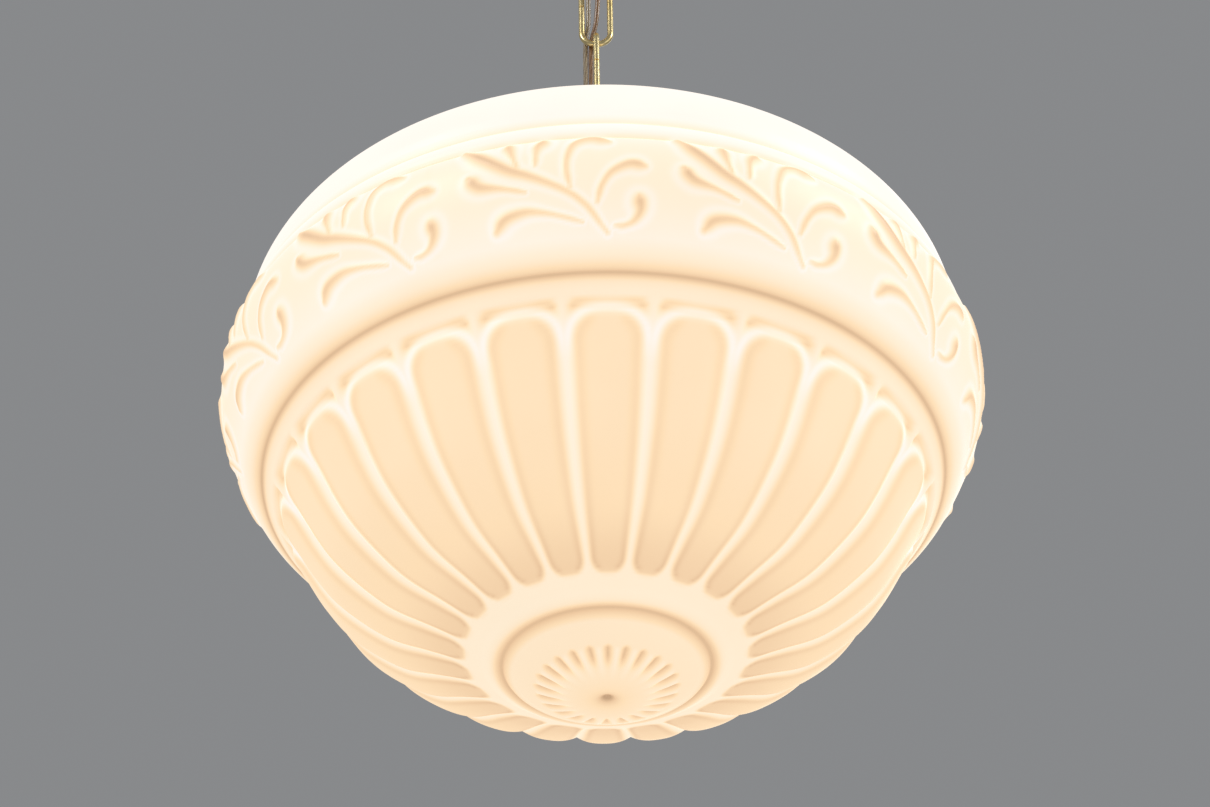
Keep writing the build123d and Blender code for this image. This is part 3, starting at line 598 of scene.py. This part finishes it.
tube_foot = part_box("fitter_tube")[0].z / mm
insert_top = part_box("lampholder_insert")[1].z / mm
holder_tails = []
for side in (-1, 1):
    tail = [(side * strand_side, 0, tube_entry), (side * strand_side, 0, tube_foot + 3),
            (side * 2.2, 0, tube_foot - 4), (side * 7.4, 0, insert_top + 4.6),
            (side * 8, 0, insert_top + 2.2)]
    holder_tails.append(smooth_route(tail))
cord = cord_piece("cord_to_lampholder_tails", holder_tails)
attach(cord, "fitter")
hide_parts("cord_to_lampholder")

# ---- Fitter loop and column ------------------------------------------------------------------
# A second cast loop is screwed on the long threaded tube, above a turned brass column with a neck,
# a round belly and a wide foot that stands on the cap.
fitter_low, fitter_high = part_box("fitter_loop")
fitter_foot = fitter_low.z / mm
fitter_reach = fitter_high.x / mm - loop_wire
fitter_middle = fitter_high.z / mm - fitter_reach - loop_wire
tube_hole = 5.1
seat_radius = 11  # the loop and the column meet in faces this wide
stem_radius = 8
fitter_hub = [(tube_hole, fitter_foot), (seat_radius, fitter_foot),
              (seat_radius, fitter_foot + 2), (stem_radius, fitter_foot + 2.6),
              (stem_radius, fitter_foot + 10.4), (6.6, fitter_foot + 12),
              (hub_bore, fitter_foot + 12), (hub_bore, fitter_foot + 8.3),
              (tube_hole, fitter_foot + 8.2)]
fitter_loop = make("fitter_loop_brass", joined(
    turned(softened(fitter_hub, 0.6)),
    drawn_wire(ring_path(fitter_middle, fitter_reach), loop_wire, closed=True)),
    polished_brass)
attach(fitter_loop, "fitter")
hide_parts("fitter_loop")

column_low, column_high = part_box("column")
column_foot = column_low.z / mm
column_tall = (column_high.z - column_low.z) / mm
column_top = column_foot + column_tall
column_waist, column_base = 9.0, 17
head_edge = (seat_radius, column_top - 2)
neck_end = (column_waist, column_top - column_tall / 3.4)
belly_end = (column_waist, column_foot + column_tall / 3)
base_edge = (column_base, column_foot + 2.5)
column_side = [(tube_hole, column_top), (seat_radius, column_top), head_edge]
column_side += arc(head_edge, neck_end, -2.6, 20)[1:]
column_side += arc(neck_end, belly_end, 4.0, 24)[1:]
column_side += arc(belly_end, base_edge, -2.4, 20)[1:]
column_side += [(column_base, column_foot), (tube_hole, column_foot)]
column = make("column_turned", turned(column_side, 120), turned_brass, 50)
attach(column, "fitter")
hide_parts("column")

# ---- Fitter cap, its fixings and the gasket ----------------------------------------------------
# The cap is spun from brass sheet with three bosses brazed into its skirt.  A washer and nut under it
# are zinc plated, the tube is steel, and a felt ring lies between the cap and the glass.
cap_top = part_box("fitter_cap")[1].z / mm
cap_dome, cap_skirt = 28, 22  # heights of the curved top and of the upright side below it
cap_ledge = cap_top - cap_dome
cap_foot = cap_ledge - cap_skirt
cap_sheet = 1.2
cap_flat = 22
cap_crown = 9.0
lip_reach, lip_gap = 75, 4.4  # the glass lip, and the room between it and the skirt
cap_reach = lip_reach + lip_gap + cap_sheet
screw_low, screw_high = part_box("thumbscrew_1")
screw_height = (screw_low.z + screw_high.z) / 2 / mm
screw_angles = [radians(30 + 120 * n) for n in range(3)]
cap_skin = [(tube_hole, cap_top), (cap_flat, cap_top)]
cap_skin += arc((cap_flat, cap_top), (cap_reach, cap_ledge), cap_crown, 40)[1:]
cap_skin += [(cap_reach, cap_foot + 1.6), (cap_reach - 0.2, cap_foot),
             (cap_reach - cap_sheet, cap_foot)]
cap_skin += arc((cap_reach - cap_sheet, cap_ledge - cap_sheet), (cap_flat, cap_top - cap_sheet),
                -cap_crown, 40)
cap_skin += [(tube_hole, cap_top - cap_sheet)]


def laid_out(shell, distance, angle, height):
    """A piece made round Z, turned to point outwards at an angle and moved out from the middle."""
    points, faces = shell
    out = np.array([cos(angle), sin(angle), 0])
    side = np.array([-sin(angle), cos(angle), 0])
    up = np.array([0, 0, 1])
    moved = points[:, :1] * side + points[:, 1:2] * up + (points[:, 2:] + distance) * out
    return moved + height * up, faces


def drilled(piece, shell):
    """Cut closed shells, in millimetres, out of a piece."""
    points, faces = shell
    cutter_mesh = bpy.data.meshes.new("drill")
    cutter_mesh.from_pydata((points * mm).tolist(), [], faces.tolist())
    cutter = bpy.data.objects.new("drill", cutter_mesh)
    bpy.context.scene.collection.objects.link(cutter)
    cut = piece.modifiers.new("drilled", "BOOLEAN")
    cut.operation, cut.object, cut.solver, cut.use_self = "DIFFERENCE", cutter, "EXACT", True
    bpy.context.view_layer.update()
    finished = piece.evaluated_get(bpy.context.evaluated_depsgraph_get())
    piece.data = bpy.data.meshes.new_from_object(finished)
    piece.modifiers.remove(cut)
    bpy.data.objects.remove(cutter)
    bpy.data.meshes.remove(cutter_mesh)


boss_bore, boss_radius, boss_length, boss_start = 2.05, 4.5, 8.5, 77.5
drill_radius, drill_length, drill_start = 2.02, 6, 77.0
boss = softened([(boss_bore, 0), (boss_radius, 0), (boss_radius, boss_length),
                 (boss_bore, boss_length)], 0.5)
bosses = [laid_out(turned(boss, 48), boss_start, angle, screw_height) for angle in screw_angles]
cap = make("fitter_cap_spun", joined(turned(cap_skin, 200), *bosses), spun_brass)
drill = turned([(0, 0), (drill_radius, 0), (drill_radius, drill_length), (0, drill_length)], 48)
holes = [laid_out(drill, drill_start, angle, screw_height) for angle in screw_angles]
drilled(cap, joined(*holes))
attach(cap, "fitter")
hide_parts("fitter_cap")
dress(zinc, "cap_washer", "cap_nut", "fitter_tube")
felt = moulded("felt", (0.20, 0.17, 0.13), (0.34, 0.29, 0.22), (0.85, 0.95), 1500, 0.6)
dress(felt, "lip_gasket")

# ---- Thumbscrews -----------------------------------------------------------------------------
# Three brass thumbscrews with knurled heads pass through the bosses and hold the glass under its lip.
# A turned nylon tip on the end of each one bears on the glass.
nylon = moulded("nylon", (0.74, 0.71, 0.62), (0.84, 0.82, 0.74), (0.4, 0.55))
head_radius = 6.5
screw_start = 73.95  # where the shank begins, out from the light's middle
screw_pitch, screw_cut = 0.7, 0.32
head_outline = [(0, 22.5), (2.2, 22.5), (2.6, 21.9), (4.6, 22.1), (5.6, 22.4),
                (head_radius, 21.5), (head_radius, 21.2), (head_radius, 18), (head_radius, 16.6),
                (5.8, 15.5), (3.5, 15.3), (3.5, 14.0), (2, 13.6)]
shank_outline = threads(2.0, 13, 1, screw_pitch, screw_cut)[::-1]
pin_outline = [(1, 0.4), (1, -1.4), (0.6, -1.8), (0, -1.8)]
screw_shell = turned(head_outline + shank_outline + pin_outline, 120, False, grips=20,
                     grip_depth=0.7, grip_span=(16.4, 21.6))
for number, angle in enumerate(screw_angles, start=1):
    screw = make(f"thumbscrew_knurled_{number}",
                 laid_out(screw_shell, screw_start, angle, screw_height), polished_brass,
                 45)
    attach(screw, f"screw_{number}")
    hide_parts(f"thumbscrew_{number}")
    dress(nylon, f"screw_tip_{number}")

# ---- Lampholder ------------------------------------------------------------------------------
# A black moulded cap and skirt enclose a white porcelain insert, with a brass screw liner, a sprung
# centre contact and two terminal screws.
black_plastic = moulded("black_plastic", (0.012, 0.010, 0.009), (0.030, 0.026, 0.022),
                        (0.18, 0.32), 700, 0.06)
porcelain = moulded("porcelain", (0.72, 0.71, 0.67), (0.84, 0.83, 0.80), (0.12, 0.22), 300, 0.05)
dress(black_plastic, "lampholder_cap", "lampholder_skirt")
dress(porcelain, "lampholder_insert")
dress(turned_brass, "lampholder_screws", "threaded_liner", "centre_contact")

# ---- Lamp ------------------------------------------------------------------------------------
# A frosted glass envelope on a screw shell, with a black glass insulator and a soldered contact.
# The glass stem inside carries two wires and the filament, and the whole envelope glows.
solder = metal("solder", (0.34, 0.34, 0.35), (0.56, 0.56, 0.57), (0.4, 0.6))
black_glass = moulded("black_glass", (0.010, 0.010, 0.014), (0.026, 0.026, 0.034),
                      (0.08, 0.16), 300, 0.03)
stem_glass = moulded("stem_glass", (0.62, 0.66, 0.66), (0.74, 0.78, 0.78), (0.04, 0.10), 300, 0.02)
tungsten = metal("tungsten", (0.14, 0.13, 0.12), (0.26, 0.24, 0.22), (0.4, 0.6))
dress(solder, "lamp_contact")
dress(black_glass, "lamp_insulator")
dress(turned_brass, "lamp_shell")
dress(stem_glass, "lamp_stem")
dress(tungsten, "lamp_filament")
frosted, tree, shader, place = new_finish("frosted_lamp_glass", 0.5)
frost = ramp(tree, noise(tree, place, 30), (grain_low, (0.80, 0.78, 0.72)),
             (grain_high, (0.88, 0.86, 0.82)))
tree.links.new(frost, shader.inputs["Base Color"])
lamp_light = ramp(tree, noise(tree, place, 25), (grain_low, (1.0, 0.86, 0.62)),
                  (grain_high, (1.0, 0.92, 0.74)))
tree.links.new(lamp_light, shader.inputs["Emission Color"])
shader.inputs["Emission Strength"].default_value = 1.6
emboss(tree, shader, noise(tree, place, 1400), 0.15, 0.05 * mm)
dress(frosted, "lamp_glass")

# ---- Glass bowl ------------------------------------------------------------------------------
# One piece of opal glass pressed in a mould and held under its lip by the screw tips: a domed shoulder,
# a double bead, a band with twelve leaf sprigs, twenty-four flutes and a disc with a ribbed rosette.
# The lamp's light through the glass is painted on as emission from a glow value at each point: lower in
# hollows and leaves, which look deeper in colour, with painted shade and painted highlights on the relief.
bowl_low, bowl_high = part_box("glass_bowl")
disc_drop = 127.0  # from the groove down to the disc's middle
groove_height = bowl_low.z / mm + disc_drop
rim_height = bowl_high.z / mm - groove_height
around = 960
sprig_count = 12
flute_count = 24
flute_turn = radians(1.25)
sprig_turn = radians(1.0)


def through(points, spacing):
    """A smooth line through points, which carry a third value along."""
    points = np.asarray(points, float)
    padded = np.concatenate([2 * points[:1] - points[1:2], points, 2 * points[-1:] - points[-2:-1]])
    rows = []
    for a, b, c, d in zip(padded, padded[1:], padded[2:], padded[3:]):
        steps = max(2, round(np.linalg.norm(c[:2] - b[:2]) / spacing))
        t = (np.arange(steps) / steps)[:, None]
        rows.append(0.5 * (2 * b + (c - a) * t + (2 * a - 5 * b + 4 * c - d) * t**2
                           + (3 * b - a - 3 * c + d) * t**3))
    return np.concatenate([*rows, points[-1:]])


# Outline points are radius, height above the groove and glow, from the disc's middle outwards and up. The
# glow is painted light: low in the grooves and between the beads as painted shade, lower towards the disc's
# middle, high on the bead crests.
disc_arc = 79.3  # radius of the disc's curve
disc_edge = 48.0


def disc_height(radius):
    """Height of the disc's curve at a radius."""
    return -disc_drop + disc_arc - np.sqrt(disc_arc**2 - radius**2)


disc = [(radius, disc_height(radius), 0.56 + 0.08 * radius / disc_edge)
        for radius in np.arange(0, disc_edge, 1.0)]
foot_ring = [(48.0, -111.4, 0.60), (50.0, -109.6, 0.42), (51.9, -107.0, 0.16), (53.9, -106.9, 0.26),
             (57.0, -106.6, 0.62), (60.0, -104.6, 0.72), (64.0, -102.0, 0.72)]
crest = [(64.0, -102.0, 0.72), (76.0, -97.4, 0.72), (90.0, -92.4, 0.74), (112.0, -83.0, 0.78),
         (135.7, -63.4, 0.82), (150.2, -43.9, 0.84), (161.0, -24.4, 0.84), (166.4, -14.6, 0.76),
         (170.0, -7.8, 0.70)]
collar_line = [(170.0, -7.8, 0.70), (171.9, -5.0, 0.68), (173.9, -2.4, 0.56), (175.9, 0.2, 0.14),
               (178.0, 1.7, 0.42), (181.4, 5.0, 0.68), (184.8, 9.2, 0.80), (187.4, 13.7, 0.88)]
band = [(187.4, 13.7, 0.86), (191.2, 21.5, 0.82), (194.6, 29.3, 0.78), (197.4, 37.0, 0.76),
        (199.1, 45.0, 0.75), (199.6, 53.0, 0.76), (198.9, 60.5, 0.80), (197.0, 66.6, 0.88)]
beads = [(197.0, 66.6, 0.88), (195.2, 68.6, 0.60), (194.6, 70.2, 0.70), (195.0, 72.6, 0.88),
         (194.6, 75.8, 0.97), (192.8, 79.6, 0.95), (190.4, 82.2, 0.80), (189.2, 84.0, 0.74),
         (189.4, 86.6, 0.88), (189.3, 89.4, 0.97)]
shoulder_centre, shoulder_across, shoulder_rise = 74.5, 115.5, 68.0
shoulder_power = 2.3
shoulder_angles = np.radians(np.linspace(3.0, 90, 48))
shoulder_radius = shoulder_centre + shoulder_across * np.cos(shoulder_angles) ** (2 / shoulder_power)
shoulder_foot = 84.0
shoulder_height = shoulder_foot + shoulder_rise * np.sin(shoulder_angles) ** (2 / shoulder_power)
# Painted shade: the shoulder's glow darkens towards its top.
shoulder_shaded_glow = 0.97 - 0.25 * np.clip((shoulder_height - 120) / 32, 0, 1)
beads_top = 90
shoulder = [row for row in zip(shoulder_radius, shoulder_height, shoulder_shaded_glow) if row[1] > beads_top]
neck = [(72.2, 152.4, 0.6), (70.8, 154.0, 0.55), (70.5, 158.0, 0.6), (70.5, 162.4, 0.65),
        (71.3, 163.6, 0.75), (74.2, 164.2, 0.75), (lip_reach, 165.2, 0.75), (lip_reach, 171.0, 0.7),
        (74.2, rim_height, 0.7), (67.4, rim_height, 0.7), (66.5, rim_height - 1.0, 0.7),
        (66.5, 150.0, 0.7)]
inside = [(66.5, 148.6), (72, 147.0), (110, 144.5), (146, 134.5), (170, 118.5), (181, 100.0),
          (186, 84), (191.5, 66), (194.5, 53), (192.5, 37), (186, 22), (178, 10), (167, 0),
          (160, -8), (151, -24.4), (140, -43.0), (125, -60), (102, -77), (72, -88), (52, -97),
          (34, -112), (14, -121.0), (0, -122.5)]
inside_glow = 0.7

lower_rows = np.concatenate([np.array(disc), through(foot_ring, 1.1)[:-1]])
flute_rows = through(crest, 2.2)[:-1]
collar_rows = through(collar_line, 1.0)[:-1]
band_rows = through(band, 1.25)[:-1]
upper_rows = np.concatenate([through(beads, 0.8), np.array(shoulder), np.array(neck)])
inner_rows = np.array([(*point, inside_glow) for point in inside])
outline = np.concatenate([lower_rows, flute_rows, collar_rows, band_rows, upper_rows, inner_rows])
outer_count = len(outline) - len(inner_rows)
flute_first = len(lower_rows)
flute_last = flute_first + len(flute_rows)
band_first = flute_last + len(collar_rows)
band_last = band_first + len(band_rows)

ahead = np.gradient(outline[:, :2], axis=0)
ahead /= np.linalg.norm(ahead, axis=1)[:, None]
outward = np.stack([ahead[:, 1], -ahead[:, 0]], axis=-1)
along = np.concatenate([[0], np.cumsum(np.linalg.norm(np.diff(outline[:, :2], axis=0), axis=1))])
azimuth = np.arange(around) * 2 * pi / around  # from the front, towards +X
relief = np.zeros((len(outline), around))
glow = np.repeat(outline[:, 2:], around, axis=1)


def eased(value, low, high):
    """0 below low, 1 above high and smooth between."""
    share = np.clip((value - low) / (high - low), 0, 1)
    return share * share * (3 - 2 * share)


def bell(value, middle, width):
    """1 at the middle, falling away on both sides."""
    return np.exp(-(((value - middle) / width) ** 2))


# Flutes: pillows that meet in narrow valleys, with a rounded top under a hollow crescent.
flute_pitch = 2 * pi / flute_count
sideways = np.abs(((azimuth - flute_turn) / flute_pitch + 0.5) % 1 - 0.5) * 2  # 0 mid-flute, 1 in a valley
down = along[flute_last] - along[:, None]  # millimetres down from the top of the flutes
flute_long = along[flute_last] - along[flute_first]
top_start, top_round, foot_start, foot_round = 6.0, 18.0, flute_long - 6.0, 11.0
above = np.clip((top_start + top_round - down) / top_round, 0, None)
below = np.clip((down - foot_start + foot_round) / foot_round, 0, None)
fullness = 2.6  # how square a flute's outline and how full its pillow are
edge = ((sideways / 0.93) ** fullness + above**fullness + below**fullness) ** (1 / fullness)  # 1 at its rim
fluted = eased(down, 0, 4) * eased(flute_long - down, 0, 8)
valley = 3.8 * eased(down, 2, 34) * (1 - 0.5 * eased(down, 60, flute_long))
pillow = valley * sideways**fullness * eased(flute_long - down, 2, 26)
crescent = 2.4 * bell(edge, 1.26, 0.22) * (1 - eased(sideways, 0.75, 1.0)) * (down < 28)
rim_fall = 1.0 * eased(edge, 0.70, 1.02) * (down < 40) * (1 - eased(sideways, 0.6, 1.0))
relief -= fluted * (pillow + crescent + rim_fall)
# Painted light on the flutes: the valleys keep a brighter glow, the panels darken near their edges and
# towards the foot as painted shade, the flute tops get a painted highlight and the crescent above them a
# painted shadow.
panel = 1 - eased(edge, 0.72, 1.08)
panel_glow = (0.56 - 0.10 * eased(down, 40, flute_long)
              - 0.14 * eased(down, flute_long - 50, flute_long - 8)
              - 0.12 * bell(edge, 0.74, 0.17) * eased(sideways, 0.15, 0.5))
glow += fluted * panel * (panel_glow - glow)
near_top = 1 - eased(down, 16, 34)
glow += fluted * near_top * 0.20 * bell(edge, 0.98, 0.11)
glow -= fluted * near_top * 0.46 * bell(edge, 1.29, 0.13) * (1 - eased(sideways, 0.72, 1.0))

# Leaf sprigs, laid out in millimetres along the band and up it: a stem and seven leaves.  Each
# stroke is a list of places and its half width at both ends, thick at the leaf's free end.
sprig = [
    ([(-69, 66), (-58, 57), (-47, 48.5), (-38, 44), (-28, 39), (-17, 33), (-9, 26.5),
      (-2.5, 18.5), (1, 14.5)], 3.1, 1.3),
    ([(-66.5, 47.5), (-61.5, 42), (-50.5, 39), (-39, 35.5)], 2.8, 1.1),
    ([(-55, 19), (-50, 24), (-39.5, 26), (-29, 24.5), (-18, 21.5), (-11.5, 19.5)], 2.5, 1.0),
    ([(-47, 65), (-45, 57), (-42, 48.5)], 2.5, 1.2),
    ([(-28.5, 65), (-32.5, 60), (-33.5, 49.5)], 2.5, 1.2),
    ([(2, 62.5), (-7, 64.5), (-14.5, 61), (-18, 52.5), (-18.5, 44.5), (-17, 36)], 2.3, 1.3),
    ([(19, 47), (12, 48), (3.5, 43.5), (-1.5, 36.5), (-4, 28.5)], 2.3, 1.3),
    ([(16.5, 31), (17.2, 25), (14, 20), (9, 17.8), (5, 17.8)], 2.8, 1.1),
]
leaf_rise = 1.7
band_radius = 200.0
sprig_lead = 0.72 * 2 * pi / sprig_count  # a sprig's patch starts this far before its stem's foot
columns = around // sprig_count
sprig_places = (np.arange(columns) * 2 * pi / around - sprig_lead) * band_radius
sprig_rows = slice(flute_last, band_last + 12)
heights = outline[sprig_rows, 1]
place_s, place_h = np.meshgrid(sprig_places, heights)
raised = np.zeros_like(place_s)
shade = np.zeros_like(place_s)
halo = np.zeros_like(place_s)
for places, thick, thin in sprig:
    stroke = through([(s, h, 0) for s, h in places], 0.8)[:, :2]
    share = np.linspace(0, 1, len(stroke))
    width = thick + (thin - thick) * eased(share, 0.0, 0.75)
    width *= (0.55 + 0.45 * eased(share, -0.02, 0.12)) * (1 - 0.3 * eased(share, 0.85, 1.0))
    apart = np.hypot(place_s[..., None] - stroke[:, 0], place_h[..., None] - stroke[:, 1]) / width
    reach = apart.min(axis=-1)
    depth = width[apart.argmin(axis=-1)] / 2.3
    raised = np.maximum(raised, (0.35 + 0.65 * np.minimum(depth, 1)) * np.exp(-(reach**2) * 0.55))
    shade = np.maximum(shade, (0.45 + 0.75 * depth) * np.exp(-(reach**2) * 0.8))
    halo = np.maximum(halo, bell(reach, 2.3, 0.9))
first_column = round((sprig_turn - sprig_lead) / (2 * pi) * around)
for number in range(sprig_count):
    where = (first_column + number * columns + np.arange(columns)) % around
    relief[sprig_rows, where] += leaf_rise * raised
    # Painted shade darkens each leaf and a painted highlight, the halo, rings it.
    glow[sprig_rows, where] += 0.12 * halo * (1 - shade) - 0.44 * shade

# The rosette: twenty-four short hollows, in line with the flutes, round a dimple.
from_middle = outline[:, :1]
row_number = np.arange(len(outline))[:, None]
on_disc = row_number < len(disc)
ribbed = eased(from_middle, 14, 30) * (1 - eased(from_middle, 34.0, 37.5 - 1.6 * sideways))
hollow = ribbed * bell(sideways, 0, 0.52) * eased(from_middle, 17, 28)
dimple = bell(from_middle, 0, 4.4)
relief += on_disc * (0.7 * ribbed * sideways - 1.5 * hollow - 2.4 * dimple)
# Painted shade in the rosette's hollows and dimple and round its middle, with a painted highlight on the
# ribs.
glow += on_disc * (-0.44 * hollow * eased(from_middle, 19, 31) + 0.12 * ribbed * sideways
                   - 0.55 * bell(from_middle, 0, 4.2) - 0.12 * bell(from_middle, 0, 10))

# Two faint seams up the band, where the halves of the mould met.
first_seam = radians(-24.4)
on_band = (row_number > band_first) & (row_number < band_last)
for seam in (first_seam, first_seam + pi):
    apart = np.abs((azimuth - seam + pi) % (2 * pi) - pi) * from_middle
    relief += on_band * 0.12 * bell(apart, 0, 1.6)
    # A faint line of painted shade along each seam.
    glow -= on_band * 0.02 * bell(apart, 0, 2.2)

relief[outer_count:] = 0  # the inside stays plain
bowl_radius = outline[:, :1] + relief * outward[:, :1]
bowl_height = outline[:, 1:2] + relief * outward[:, 1:] + groove_height
surface = [bowl_radius * np.sin(azimuth), -bowl_radius * np.cos(azimuth), bowl_height]
points = np.stack(surface, axis=-1).reshape(-1, 3)

opal, tree, shader, place = new_finish("lit_opal_glass", 0.14)
level = tree.nodes.new("ShaderNodeAttribute")
level.attribute_name = "glow"
cloud_depth = 0.025
cloud = tree.nodes.new("ShaderNodeMapRange")
cloud.inputs["To Min"].default_value = -cloud_depth
cloud.inputs["To Max"].default_value = cloud_depth
tree.links.new(noise(tree, place, 14, detail=2.0), cloud.inputs["Value"])
cloudy = tree.nodes.new("ShaderNodeMath")
tree.links.new(level.outputs["Fac"], cloudy.inputs[0])
tree.links.new(cloud.outputs["Result"], cloudy.inputs[1])
# Painted light: the emission colour runs from deep amber, as painted shade where the glow is low, to near
# white where it is high.
painted_glow_colour = ramp(tree, cloudy.outputs["Value"], (0.0, (0.46, 0.28, 0.15)),
                     (0.25, (0.76, 0.51, 0.30)), (0.5, (0.90, 0.66, 0.41)),
                     (0.75, (0.91, 0.77, 0.59)), (1.0, (0.91, 0.85, 0.80)))
tree.links.new(painted_glow_colour, shader.inputs["Emission Color"])
shader.inputs["Emission Strength"].default_value = 1.0
glass_body = ramp(tree, noise(tree, place, 20), (grain_low, (0.24, 0.21, 0.17)),
                  (grain_high, (0.28, 0.25, 0.21)))
tree.links.new(glass_body, shader.inputs["Base Color"])
tree.links.new(between(tree, noise(tree, place, 60), 0.34, 0.44), shader.inputs["Roughness"])
shader.inputs["Specular IOR Level"].default_value = 0.18
emboss(tree, shader, noise(tree, place, 45, detail=2.0), 0.05, 0.3 * mm)

bowl = make("opal_glass_bowl", (points, quads(len(outline), around, False)), opal, 75,
            ("glow", glow.reshape(-1)))
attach(bowl, "fitter")
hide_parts("glass_bowl")
